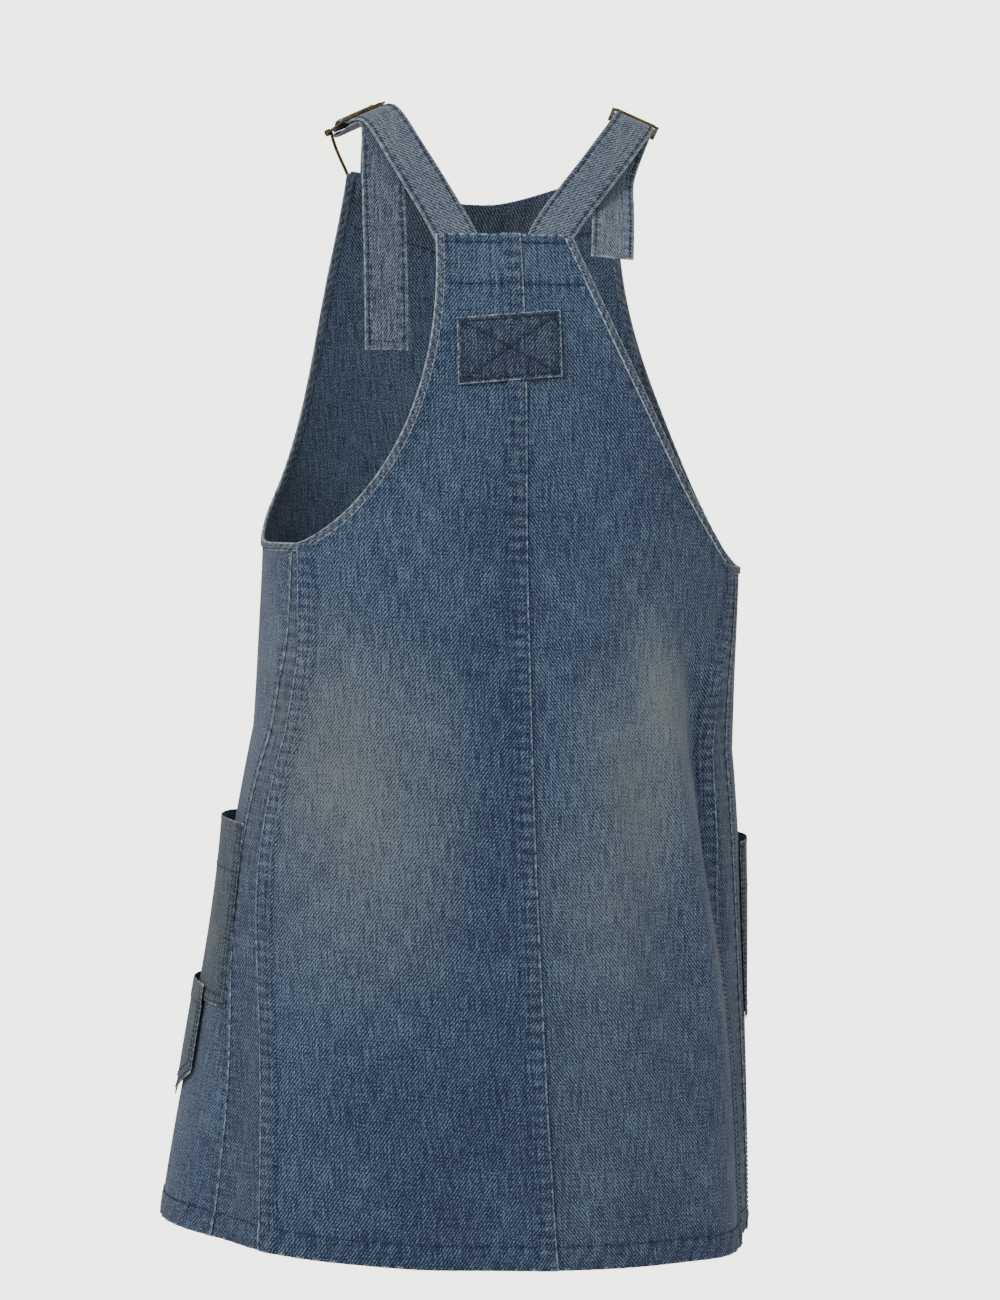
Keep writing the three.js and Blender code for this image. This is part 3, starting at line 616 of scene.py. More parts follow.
def faces_of(rows: int, columns: int) -> Grid:
    """Corner numbers of a closed sheet's quads: its outer face, its inner face and its rim.

    Args:
        rows: rows of points.
        columns: columns of points.

    Returns:
        A row of four for each quad.
    """
    at = np.arange(rows * columns).reshape(rows, columns)
    under = at + rows * columns
    front = np.stack([at[:-1, :-1], at[1:, :-1], at[1:, 1:], at[:-1, 1:]], -1).reshape(-1, 4)
    back = np.stack([under[:-1, :-1], under[:-1, 1:], under[1:, 1:], under[1:, :-1]], -1).reshape(-1, 4)
    ring = np.concatenate([at[0, :-1], at[:-1, -1], at[-1, :0:-1], at[:0:-1, 0]])
    after = np.roll(ring, -1)
    low = rows * columns
    rim = np.stack([ring, after, after + low, ring + low], -1)
    return np.concatenate([front, back, rim])


def mesh_object(name: str, points: Grid, quads: Grid, material: bpy.types.Material) -> bpy.types.Object:
    """Makes a closed mesh from points in millimetres, facing outwards.

    Args:
        name: the piece's name.
        points: its corners.
        quads: its faces.
        material: its finish.

    Returns:
        The new object, at the origin.
    """
    a, b, c, d = (points[quads[:, k]] for k in range(4))
    volume = (np.cross(a, b) * c).sum() + (np.cross(a, c) * d).sum()
    quads = quads if volume > 0 else quads[:, ::-1]
    mesh = bpy.data.meshes.new(name)
    mesh.from_pydata((points * MM).tolist(), [], quads.tolist())
    mesh.polygons.foreach_set("use_smooth", np.ones(len(quads), bool))
    mesh.materials.append(material)
    obj = bpy.data.objects.new(name, mesh)
    bpy.context.scene.collection.objects.link(obj)
    return obj


def sharpen(obj: bpy.types.Object, degrees: float = 50.0) -> None:
    """Keeps a piece's edges over an angle crisp and the rest smooth."""
    choose(obj)
    bpy.ops.object.shade_smooth_by_angle(angle=math.radians(degrees))


def cloth_object(name: str, skin: Skin, slot: str) -> bpy.types.Object:
    """Makes one closed piece of cloth with its weave map and its painted wear and shade.

    Args:
        name: the piece's name.
        skin: its faces and wear.
        slot: the record's material slot.

    Returns:
        The new object.
    """
    rows, columns = skin.outer.shape[:2]
    points = np.concatenate([skin.outer.reshape(-1, 3), skin.inner.reshape(-1, 3)])
    obj = mesh_object(name, points, faces_of(rows, columns), WARDROBE.made[slot])
    mesh = obj.data
    uv = np.tile(skin.weave().reshape(-1, 2), (2, 1))
    corner = np.empty(len(mesh.loops), int)
    mesh.loops.foreach_get("vertex_index", corner)
    mesh.uv_layers.new(name="weave").data.foreach_set("uv", uv[corner].astype(np.float32).ravel())
    inside = skin.tone + skin.inside_tone
    painted = {
        "tone": (skin.tone, inside),
        "tan": (skin.tan, skin.tan * 0),
        "wear": (skin.wear, skin.wear * 0.6),
    }
    for label, values in painted.items():
        attribute = mesh.attributes.new(label, "FLOAT", "POINT")
        flat = np.concatenate([np.broadcast_to(v, (rows, columns)).ravel() for v in values])
        attribute.data.foreach_set("value", flat.astype(np.float32))
    sharpen(obj)
    return obj


class Hold(Enum):
    """How a sheet of cloth is held."""

    HUNG = "hung"
    LAID = "laid"
    FOLDED = "folded"


def place_cloth(
    obj: bpy.types.Object,
    skin: Skin,
    body: str | None,
    nodes: Iterable[str],
) -> None:
    """Puts a piece of cloth in its CAD nodes' place and logs its flat size.

    Args:
        obj: the piece.
        skin: its faces.
        body: the body it rides on, or None where it is blended.
        nodes: the CAD nodes it stands for.
    """
    if body:
        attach(obj, body)
    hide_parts(*nodes)
    width, length, area = skin.sizes()
    if width < NARROWEST_SHEET:
        width, area = NARROWEST_SHEET, NARROWEST_SHEET * length
    area = min(area, width * length)
    LOG.info("%s: cloth %.0f x %.0f mm, %.4f m2", obj.name, width / MM, length / MM, area)


# ---- Thread ----
@dataclass
class Stitching:
    """Rows of stitches that are one piece: each stitch is a short rounded bar that dips in at its ends."""

    name: str
    body: str = "dress"
    corners: int = 16
    pitch: float = 3.6
    length: float = 2.7
    width: float = 1.0
    height: float = 0.6
    taper: float = 0.55
    sink: float = 0.35
    proud: float = 0.12
    points: list[Grid] = field(default_factory=list)
    rows: list[tuple[int, int]] = field(default_factory=list)

    def row(self, line: Grid, normals: Grid) -> None:
        """Adds a row of stitches along a line.

        Args:
            line: points in millimetres, one after another, on the cloth's outer face.
            normals: the outward direction at each.
        """
        far = distances(line)
        if far[-1] < self.pitch:
            return
        spots = np.arange(self.pitch / 2, far[-1], self.pitch)
        centre = resample(spots, far, line)
        ahead, behind = np.minimum(spots + 1, far[-1]), np.maximum(spots - 1, 0)
        along = unit(resample(ahead, far, line) - resample(behind, far, line))
        out = unit(resample(spots, far, normals))
        side = unit(np.cross(out, along))
        w, h, half = self.width / 2, self.height, self.length / 2
        inner = half * self.taper
        tip = (self.taper, -self.sink)
        sections = ((-half, *tip), (-inner, 1.0, 0.0), (inner, 1.0, 0.0), (half, *tip))
        for x, size, lift in sections:
            for y, z in ((-w, 0.0), (0.0, h), (w, 0.0), (0.0, -h)):
                up = z * size + lift + self.proud
                self.points.append(centre + along * x + side * y * size + out * up)
        self.rows.append((len(self.points) - self.corners, len(centre)))

    def build(self) -> bpy.types.Object:
        """Makes the piece and puts it on its body."""
        points, quads, start = [], [], 0
        cell = []
        for k in range(3):
            for m in range(4):
                n = (m + 1) % 4
                cell.append([k * 4 + m, k * 4 + n, (k + 1) * 4 + n, (k + 1) * 4 + m])
        cell = np.array([*cell, [3, 2, 1, 0], [12, 13, 14, 15]])
        for first, count in self.rows:
            points.append(np.stack(self.points[first : first + self.corners], 1).reshape(-1, 3))
            firsts = start + np.arange(count) * self.corners
            quads.append((cell[None] + firsts[:, None, None]).reshape(-1, 4))
            start += count * self.corners
        thread = WARDROBE.made["stitching_thread"]
        obj = mesh_object(self.name, np.concatenate(points), np.concatenate(quads), thread)
        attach(obj, self.body)
        LOG.info("%s: %d stitches", self.name, start // self.corners)
        return obj


def stitch_on_cloth(thread: Stitching, angle: Grid, z: Grid, lift: float) -> None:
    """Adds a row of stitches at angles and heights on the hung cloth."""
    thread.row(CLOTH.on(angle, z, np.full(np.shape(z), lift)), CLOTH.normal(angle, z))


# ---- Wear ----
@dataclass(frozen=True)
class Fade:
    """A place faded paler, or a darker one where pale is below nought: where it is, how wide and tall, its
    slant, and how pale and how tan.
    """

    x: float
    z: float
    wide: float
    tall: float
    slant: float
    pale: float
    tan: float = 0.0

    def at(self, x: Grid, z: Grid) -> Grid:
        """How much of it shows at each place, from 0 to 1."""
        c, s = math.cos(math.radians(self.slant)), math.sin(math.radians(self.slant))
        across = ((x - self.x) * c + (z - self.z) * s) / self.wide
        down = (-(x - self.x) * s + (z - self.z) * c) / self.tall
        return np.exp(-(across**2 + down**2))


@dataclass(frozen=True)
class Wash:
    """The paler places of the whole dress and its darker ones, painted shade among them, on its back and on
    its front.
    """

    base: float = 0.20
    back: tuple[Fade, ...] = (
        Fade(122, -480, 36, 80, 0, 0.22, 0.55),
        Fade(66, -510, 34, 100, 0, 0.13, 0.25),
        Fade(108, -590, 46, 70, 0, 0.10, 0.25),
        Fade(-114, -446, 22, 64, -12, 0.40, 0.6),
        Fade(-90, -512, 28, 70, -18, 0.24, 0.5),
        Fade(-66, -600, 38, 70, -14, 0.15, 0.35),
        Fade(14, -520, 26, 230, 0, -0.11),
        Fade(-30, -520, 30, 120, 0, 0.04),
        # Painted shade: the lower back on the wearer's left made darker.
        Fade(70, -760, 70, 80, 0, -0.14),
        Fade(-50, -760, 26, 90, 0, 0.07, 0.1),
        Fade(-100, -300, 60, 60, 0, -0.04),
        Fade(160, -500, 30, 130, 0, 0.03, 0.2),
        Fade(0, -860, 300, 40, 0, -0.08),
    )
    front: tuple[Fade, ...] = (
        Fade(95, -520, 42, 110, 8, 0.22, 0.5),
        Fade(-95, -520, 42, 110, -8, 0.22, 0.5),
        Fade(0, -250, 70, 60, 0, 0.10, 0.2),
        Fade(0, -860, 300, 40, 0, -0.08),
    )

    def paint(self, points: Grid, angle: Grid) -> tuple[Grid, Grid]:
        """How faded, how darkened and how tan the cloth is.

        Args:
            points: places in millimetres.
            angle: their angles from the centre back.

        Returns:
            Tone and tan, each from 0 to 1.
        """
        x, z = points[..., 0], points[..., 2]
        tone, tan = np.full(x.shape, self.base), np.zeros(x.shape)
        facing_back = smoothstep(np.cos(np.radians(angle)), -0.15, 0.25)
        for fades_and_shades, share in ((self.back, facing_back), (self.front, 1 - facing_back)):
            for fade_and_shade in fades_and_shades:
                seen = fade_and_shade.at(x, z) * share
                tone, tan = tone + fade_and_shade.pale * seen, tan + fade_and_shade.tan * seen
        return tone, np.clip(tan, 0, 0.85)


WASH_AND_SHADE = Wash()


def ladder(down: Grid, pitch: float, phase: float = 0.0) -> Grid:
    """Puckers along a seam, uneven as hand-fed seams are, from -1 to 1."""
    uneven = 1.3 * np.sin(down / 31 + phase)
    return np.sin(2 * np.pi * down / pitch + uneven + 0.7 * np.sin(down / 13 + 2 * phase))


@dataclass(frozen=True)
class Hem:
    """The turned-up hem: its height, and the slanting ropes that washing leaves in it."""

    height: float = 17.5
    rope: float = 12.5
    swell: float = 0.55

    def relief(self, arc: Grid, z: Grid) -> tuple[Grid, Grid, Grid]:
        """Lift, tone and wear of the hem at each place, from its distance round the dress and its height."""
        up = z + CLOTH.length
        inside = 1 - smoothstep(up, self.height - 2.5, self.height + 1.5)
        rope = np.sin(2 * np.pi * (arc + 0.55 * up) / self.rope + 0.9 * np.sin(arc / 37))
        dip = beside(up, self.height, 1.6)
        edge = 1 - smoothstep(up, 0.5, 3.2)
        lift = inside * (0.45 + self.swell * rope) - 0.5 * dip
        # Painted shade: darker in the dip along the hem's top, most where the rope is low.
        tone = inside * (0.11 * rope - 0.03) - 0.10 * dip * (0.4 - 0.6 * rope)
        return lift, tone, edge * (0.5 + 0.3 * rope) + 0.1 * inside * np.maximum(rope, 0)


HEM = Hem()


def arc_from(points: Grid) -> Grid:
    """Distance along each row of points from its first."""
    step = np.linalg.norm(np.diff(points, axis=1), axis=-1)
    return np.concatenate([np.zeros((points.shape[0], 1)), np.cumsum(step, axis=1)], 1)


def plain_cut(angle: Grid, z: Grid) -> tuple[float, float, float]:
    """Size of a piece's flat cut, from the dress without creases, puckers or laps' relief.

    Args:
        angle: degrees from the centre back, for each row and column.
        z: heights.

    Returns:
        Its greatest width along a level row, its length along an upright column and its area, in mm.
    """
    p = PLAIN.point(angle, z)
    slope, drift = np.ptp(z, axis=1), np.abs(np.diff(angle, axis=0)).sum(0)
    widths = np.linalg.norm(np.diff(p, axis=1), axis=-1).sum(1)
    lengths = np.linalg.norm(np.diff(p, axis=0), axis=-1).sum(0)
    width = widths[slope <= slope.min() + 0.5].max()
    length = lengths[drift <= drift.min() + 0.5].max()
    a, b = p[1:, 1:] - p[:-1, :-1], p[1:, :-1] - p[:-1, 1:]
    return width, length, np.linalg.norm(np.cross(a, b), axis=-1).sum() / 2


def hung_skin(angle: Grid, z: Grid, lift: Grid, tone: Grid, wear: Grid, from_end: bool = False) -> Skin:
    """A piece of cloth that hangs on the dress's surface.

    Args:
        angle: degrees from the centre back, for each row and column.
        z: heights.
        lift: how far its inner face stands off the surface.
        tone: change of tone besides the wash.
        wear: rubbed edges.
        from_end: whether the weave is measured from the last column instead of the first.

    Returns:
        The piece's skin, with rounded edges.
    """
    base, normal = CLOTH.point(angle, z), CLOTH.normal(angle, z)
    washed_and_shaded, tan = WASH_AND_SHADE.paint(base, angle)
    rows, columns = angle.shape
    r = np.minimum(np.arange(rows), np.arange(rows)[::-1])[:, None]
    c = np.minimum(np.arange(columns), np.arange(columns)[::-1])[None]
    soft = np.where(np.minimum(r, c) == 0, 0.25, 0.0) * DENIM
    outer = base + normal * (lift + DENIM - soft)[..., None]
    inner = base + normal * (lift + soft)[..., None]
    arc = arc_from(base)
    flat = np.stack([arc - arc[:, -1:] * from_end, np.broadcast_to(z, arc.shape)], -1)
    cut = plain_cut(angle, np.broadcast_to(z, angle.shape))
    tone = np.clip(washed_and_shaded + tone, 0.02, 0.95)
    return Skin(outer, inner, tone, tan, np.clip(wear, 0, 1), flat=flat, cut=cut)


# ---- Panels ----
@dataclass
class BackPanel:
    """Half of the back, from the centre-back seam to the armhole and the felled side seam."""

    side: Side
    columns: int = 74
    edge_columns: int = 13
    above: int = 100
    below: int = 190
    band: float = 14.0
    drop: float = 1.5
    ridges: tuple[tuple[float, float], ...] = ((-14, 2.2), (3, 2.0), (9, 2.2), (18, 2.5))

    def build(self) -> None:
        """Makes the panel with its laps, puckers, hem and wash."""
        hole, sign = ARMHOLES[self.side], self.side.value
        laps = self.side is Side.LEFT
        z = hole.heights(CLOTH.yoke, self.above, self.below)[:, None]
        seam = hole.side_seam(z)
        opening = np.where(z > -hole.level, hole.edge_angle(z, True), 180.0)
        lapped = seam + CLOTH.degrees(SEAM_LAP, sign * seam, z)
        outer = np.minimum(lapped, opening)
        inner = -CLOTH.degrees(SEAM_LAP, z * 0, z) if laps else CLOTH.degrees(0.15, z * 0, z)
        near = inner + CLOTH.degrees(self.band + 3, z * 0, z)
        far = outer - CLOTH.degrees(self.band + 3, sign * outer, z)
        far = np.maximum(far, lerp(near, outer, 0.55))
        first = lerp(inner, near, shares(self.edge_columns, False))
        middle = lerp(near, far, shares(self.columns, False))
        last = lerp(far, outer, shares(self.edge_columns))
        angle = np.concatenate([first, middle, last], 1)
        zz = np.broadcast_to(z, angle.shape)
        base = CLOTH.point(sign * angle, zz)
        arc = arc_from(base)
        rest = arc[:, -1:] - arc
        has_lap = smoothstep(outer - seam, 0.2, 2.2)
        lift = (1 - smoothstep(rest, self.band, self.band + self.drop)) * LAP_LIFT * has_lap
        tone = np.zeros_like(lift)
        wear = np.zeros_like(lift)
        centre = arc - (SEAM_LAP if laps else 0.0)
        if laps:
            lift = lift + (1 - smoothstep(arc, self.band, self.band + self.drop)) * LAP_LIFT
            wear = wear + (1 - smoothstep(arc, 0.6, 2.2)) * 0.75 + 0.25 * beside(arc, self.band - 0.5, 1.2)
        rung = ladder(zz, 9.0, 0.4)
        on_seam = beside(centre, -5.5, 7.0) if laps else beside(arc, 3.0, 5.0)
        lift = lift + 0.30 * rung * on_seam
        # Painted shade: a narrow dark line at the foot of the centre-back lap's step on the left panel, and
        # one on the right panel just past the left panel's lapped edge.
        tone = tone + (0.22 * rung - 0.04) * on_seam - 0.12 * beside(centre, 3.5, 1.6) * laps
        tone = tone - 0.12 * beside(arc, 13.5, 1.6) * (not laps)
        side_rung = ladder(zz, 8.5, 1.9)
        at_side = beside(rest, 6.5, 7.0) * has_lap
        lift = lift + 0.32 * side_rung * at_side
        # Painted shade: a narrow dark line at the foot of the side seam's lap.
        tone = tone + (0.22 * side_rung - 0.04) * at_side - 0.12 * beside(rest, 15.5, 1.6) * has_lap
        wear = wear + has_lap * ((1 - smoothstep(rest, 0.6, 2.2)) * 0.78 + 0.25 * beside(rest, 13.5, 1.2))
        bound = 1 - has_lap
        rope = ladder(zz, 10.5, 3.1)
        tone = tone + bound * beside(rest, 6.0, 5.0) * (0.12 * rope - 0.05)
        lift = lift + bound * beside(rest, 6.0, 5.0) * 0.22 * rope
        lift, tone, wear = self.yoke(centre * sign, zz, lift, tone, wear)
        round_arc = sign * centre + 400
        hem_lift, hem_tone, hem_wear = HEM.relief(round_arc, zz)
        skin = hung_skin(sign * angle, zz, lift + hem_lift, tone + hem_tone, wear + hem_wear)
        name = f"back_{self.side.label}_cloth"
        obj = cloth_object(name, skin, "panel_denim")
        place_cloth(obj, skin, "dress", [f"back_{self.side.label}_panel"])

    def yoke(self, across: Grid, z: Grid, lift: Grid, tone: Grid, wear: Grid) -> tuple[Grid, Grid, Grid]:
        """Adds the yoke's turned top, its facing's stitched dip and the ridges above the patch."""
        below = -z - CLOTH.yoke
        top = 1 - smoothstep(below, 0.8, 2.6)
        wave = ladder(across, 7.5, 0.9)
        first, second = YOKE_ROWS
        rows = beside(below, first, 1.5) + beside(below, second, 1.8)
        puckers = beside(below, first, 5.5) + beside(below, second, 6.5)
        ridges = sum(beside(across, middle, reach) for middle, reach in self.ridges)
        ridges = ridges * smoothstep(below, 4, 12) * (1 - smoothstep(below, 72, 96))
        in_yoke = 1 - smoothstep(below, 36, 40)
        lift = lift - 0.4 * rows + 0.3 * wave * puckers + 0.45 * ridges + 0.35 * in_yoke
        # Painted shade: dark lines along the two stitch rows, where the cloth dips.
        tone = tone - 0.16 * rows + 0.13 * wave * puckers + 0.10 * ridges + 0.04 * in_yoke
        return lift, tone, wear + top * (0.6 + 0.25 * wave) + 0.18 * ridges


@dataclass
class SidePanel:
    """Narrow panel under the arm, between the side seam and the side-front seam."""

    side: Side
    columns: int = 26
    rows: int = 190
    shade: float = 0.09

    def build(self) -> None:
        """Makes the panel with its gathers under the arm, hem and wash."""
        hole, sign = ARMHOLES[self.side], self.side.value
        s = shares(self.columns)
        t = shares(self.rows).T ** 1.04
        level = np.array(-CLOTH.armhole)
        top = hole.edge_height(lerp(hole.side_seam(level), hole.front_seam(level), s))
        z = lerp(top, -CLOTH.length, t)
        angle = lerp(hole.side_seam(z) - 0.1, hole.front_seam(z), s)
        arc = arc_from(CLOTH.point(sign * angle, z))
        rest = arc[:, -1:] - arc
        gather = np.exp(-(-z - CLOTH.armhole) / 42) * np.sin(2 * np.pi * arc / 7.5)
        rung = ladder(z, 9.0, 4.4)
        lift = 0.5 * gather + 0.25 * rung * beside(rest, 4, 6) - 0.3 * beside(arc, 15, 2)
        tone = 0.10 * gather + 0.15 * rung * (beside(rest, 4, 6) + beside(arc, 16, 6))
        # Painted shade: a dark line just past the back panel's lapped edge, another along the edge beside the
        # front panel's raised side, and the whole panel darker by its shade.
        tone = tone - 0.13 * beside(arc, 13.6, 1.8)
        tone = tone - 0.12 * beside(rest, 1.2, 1.2) - self.shade
        hem_lift, hem_tone, hem_wear = HEM.relief(arc * sign + 170, z)
        skin = hung_skin(sign * angle, z, lift + hem_lift, tone + hem_tone, hem_wear)
        skin.tan = np.clip(skin.tan + 0.06, 0, 0.8)
        obj = cloth_object(f"side_{self.side.label}_cloth", skin, "panel_denim")
        node, rests = f"side_{self.side.label}_panel", f"{self.side.label}_armhole_edge"
        place_cloth(obj, skin, "dress", [node])


@dataclass
class FrontPanel:
    """Half of the front, from the side-front seam to the centre front, with its half of the bib."""

    side: Side
    columns: int = 78
    above: int = 90
    below: int = 150

    def build(self) -> None:
        """Makes the panel with its raised side edge, centre seam, bib top, hem and wash."""
        hole, sign = ARMHOLES[self.side], self.side.value
        z = hole.heights(hole.bib_drop, self.above, self.below)[:, None]
        seam = hole.front_seam(z)
        start = np.where(z > -hole.level, np.maximum(seam, hole.edge_angle(z, False)), seam - 0.9)
        angle = lerp(start, 180.0 + CLOTH.degrees(0.6, z * 0 + 180, z), shares(self.columns))
        low = np.clip(1 + (z + hole.bib_drop) / 130, 0, 1)
        zz = z - hole.bib_sag * smoothstep(angle, hole.bib_corner, 180) * low
        arc = arc_from(CLOTH.point(sign * angle, zz))
        rest = arc[:, -1:] - arc
        seamed = 1 - smoothstep(z, -hole.level - 4, -hole.level + 2)
        rung, middle_rung = ladder(zz, 9.0, 2.3), ladder(zz, 9.5, 5.2)
        lift = seamed * (1.15 * (1 - smoothstep(arc, 3.5, 7.0)) + 0.25 * rung * beside(arc, 4, 5))
        lift = lift + 0.7 * (1 - smoothstep(rest, 8, 10)) + 0.25 * middle_rung * beside(rest, 5, 7)
        lift = lift + 0.4 * (sign > 0) * (1 - smoothstep(rest, 2, 5))
        # Painted shade: narrow dark lines at the foot of the raised side edge and of the raised centre-front
        # edge.
        tone = seamed * (0.15 * rung * beside(arc, 5, 6) - 0.1 * beside(arc, 6.5, 1.5))
        tone = tone + 0.14 * middle_rung * beside(rest, 6, 8) - 0.1 * beside(rest, 10.5, 1.4)
        wear = seamed * (1 - smoothstep(arc, 0.8, 3.0)) * 0.72 + 0.2 * beside(rest, 8.2, 1.2)
        below = -z - hole.bib_drop
        wave = ladder(arc, 8.0, 1.1)
        first, second = BIB_ROWS
        top_rows = beside(below, first, 1.5) + beside(below, second, 1.8)
        puckers = wave * (beside(below, first, 5) + beside(below, second, 6))
        lift = lift - 0.35 * top_rows + 0.25 * puckers
        # Painted shade: dark lines along the bib's two stitch rows, where the cloth dips.
        tone = tone - 0.14 * top_rows + 0.12 * puckers
        wear = wear + (1 - smoothstep(below, 0.8, 2.6)) * 0.7
        hem_lift, hem_tone, hem_wear = HEM.relief(arc * sign, zz)
        lift, tone, wear = lift + hem_lift, tone + hem_tone, wear + hem_wear
        skin = hung_skin(sign * angle, zz, lift, tone, wear, from_end=True)
        obj = cloth_object(f"front_{self.side.label}_cloth", skin, "panel_denim")
        node, rests = f"front_{self.side.label}_panel", f"{self.side.label}_hook_wire_bent"
        place_cloth(obj, skin, "dress", [node])


# ---- Bars of cloth: bindings and straps ----
@dataclass
class Bar:
    """A flat band of cloth along a path, with rounded edges and puckered stitch rows."""

    centres: Grid
    acrosses: Grid
    normals: Grid
    width: float
    thick: float
    columns: int = 25
    rope: float = 0.0
    ladder_pitch: float = 8.5
    stitch_inset: float = 3.2

    def skin(self, tone: float, tan: float, end_wear: float = 0.0) -> Skin:
        """The band's faces and wear.

        Args:
            tone: how faded it is.
            tan: how tan it is.
            end_wear: how rubbed its last edge is.

        Returns:
            The skin.
        """
        c = -np.cos(np.linspace(0, np.pi, self.columns))
        c = lerp(c, np.linspace(-1, 1, self.columns), 0.5)[None]
        far = distances(self.centres)[:, None]
        edge = self.thick / self.width
        beyond = np.clip((np.abs(c) - (1 - edge)) / edge, 0, 1)
        round_off = np.sqrt(np.maximum(1 - beyond**2, 0.0))
        ends = np.minimum(far, far[-1] - far)
        round_off = round_off * np.sqrt(np.clip(ends / (self.thick / 2), 0.04, 1))
        from_edge = (1 - np.abs(c)) * self.width / 2
        rung = np.where(c > 0, ladder(far, self.ladder_pitch, 0.7), ladder(far, self.ladder_pitch, 2.9))
        rope = np.sin(2 * np.pi * (far + 1.1 * c * self.width / 2) / 7.5 + np.sin(far / 29))
        rows = beside(from_edge, self.stitch_inset, 0.9)
        flat = smoothstep(from_edge, 0.2, self.stitch_inset)
        plain = self.rope == 0
        relief = 0.22 * rung * beside(from_edge, self.stitch_inset, 3.0) - 0.35 * rows * plain
        relief = relief + self.rope * rope
        relief = relief + 0.25 * beside(from_edge, 1.3, 1.0) * plain
        bow = self.bow(far)
        half = self.thick / 2 * round_off
        across = self.acrosses[:, None] * (c * self.width / 2)[..., None]
        up = self.normals[:, None]
        outer = self.centres[:, None] + across + up * (half + relief * round_off + bow)[..., None]
        inner = self.centres[:, None] + across - up * (half - relief * round_off * 0.4 - bow)[..., None]
        paint = tone + 0.15 * rung * beside(from_edge, self.stitch_inset + 0.5, 3.4) * plain
        # Painted shade: dark lines along the stitch rows, where the band dips.
        paint = paint - 0.14 * rows * plain + 0.16 * rope * (not plain) - 0.05 * flat
        wear = 0.70 * (1 - smoothstep(from_edge, 0.5, 1.9)) + 0.22 * np.maximum(rope, 0) * (not plain)
        wear = wear + end_wear * (1 - smoothstep(far[-1] - far, 0.6, 2.2))
        paint, wear, tans = np.clip(paint, 0.03, 0.95), np.clip(wear, 0, 1), np.full(paint.shape, tan)
        length = float(far[-1, 0])
        return Skin(outer, inner, paint, tans, wear, 0.04, cut=(self.width, length, self.width * length))

    def bow(self, far: Grid) -> Grid:
        """How far the band bends off its path; a roped one doesn't."""
        return 0.35 * np.sin(far / 23) * (self.rope == 0)

    def stitch(self, thread: Stitching, start: float, stop: float) -> float:
        """Adds a row near each edge of the band.

        Args:
            thread: the stitching it becomes part of.
            start: where the rows begin, along the band.
            stop: how far before its end they stop.

        Returns:
            How far each row lies from the middle.
        """
        far = distances(self.centres)
        kept = (far >= start) & (far <= far[-1] - stop)
        edge = self.width / 2 - self.stitch_inset
        lift = self.thick / 2 + self.bow(far)[:, None]
        for offset in (-edge, edge):
            line = self.centres + self.acrosses * offset + self.normals * lift
            thread.row(line[kept], self.normals[kept])
        return edge


@dataclass
class ArmholeEdge:
    """The folded binding round one armhole, roped by washing."""

    side: Side
    step: float = 1.6
    steps: int = 400
    columns: int = 15
    stitch_inset: float = 1.4
    hook_reach: float = 92.0

    def build(self, thread: Stitching) -> None:
        """Makes the binding and its stitch row."""
        hole, sign = ARMHOLES[self.side], self.side.value
        line = hole.outline(BINDING_WIDTH / 2, self.steps)
        points = CLOTH.on(sign * line[:, 0], line[:, 1], np.full(len(line), DENIM / 2))
        far = distances(points)
        spots = np.arange(0, far[-1], self.step)
        angle, z = np.interp(spots, far, sign * line[:, 0]), np.interp(spots, far, line[:, 1])
        centres = CLOTH.on(angle, z, np.full(len(spots), DENIM / 2))
        normals = CLOTH.normal(angle, z)
        along = np.gradient(centres, axis=0)
        acrosses = unit(np.cross(along, normals)) * sign
        sizes = {"width": BINDING_WIDTH, "thick": BINDING_THICK, "columns": self.columns}
        bar = Bar(centres, acrosses, normals, **sizes, rope=0.22, stitch_inset=self.stitch_inset)
        skin = bar.skin(0.30, 0.1)
        inward = -np.linspace(-1, 1, self.columns)[None]
        skin.wear = np.clip(skin.wear + 0.35 * beside(inward, 1, 0.5) + 0.25 * beside(inward, -1, 0.5), 0, 1)
        obj = cloth_object(f"{self.side.label}_armhole_edge", skin, "binding_denim")
        place_cloth(obj, skin, "dress", [f"{self.side.label}_armhole_binding"])
        edge = hole.outline(BINDING_WIDTH - 1.3, self.steps)
        lift = DENIM / 2 + BINDING_THICK / 2 - 0.1
        fine = CLOTH.on(sign * edge[:, 0], edge[:, 1], np.full(len(edge), lift))
        clear = (np.arange(len(edge)) < len(edge) // 2) | (edge[:, 1] < -self.hook_reach)
        clear[:2] = False
        thread.row(fine[clear], CLOTH.normal(sign * edge[clear, 0], edge[clear, 1]))


@dataclass(frozen=True)
class Lie:
    """How one side's strap lies: its slide's place and slope, and its free tail's ends and fading."""

    slide: tuple[float, float, float]
    slope: float
    top: tuple[float, float, float]
    bottom: tuple[float, float, float]
    end_tone: float


LIES = {
    Side.LEFT: Lie((101, -6, -9), 27, (88, 66, -88), (89, 93, -190), 0.30),
    Side.RIGHT: Lie((-112, -8, -8), 24, (-85, 57, -78), (-80, 81, -120), 0.50),
}


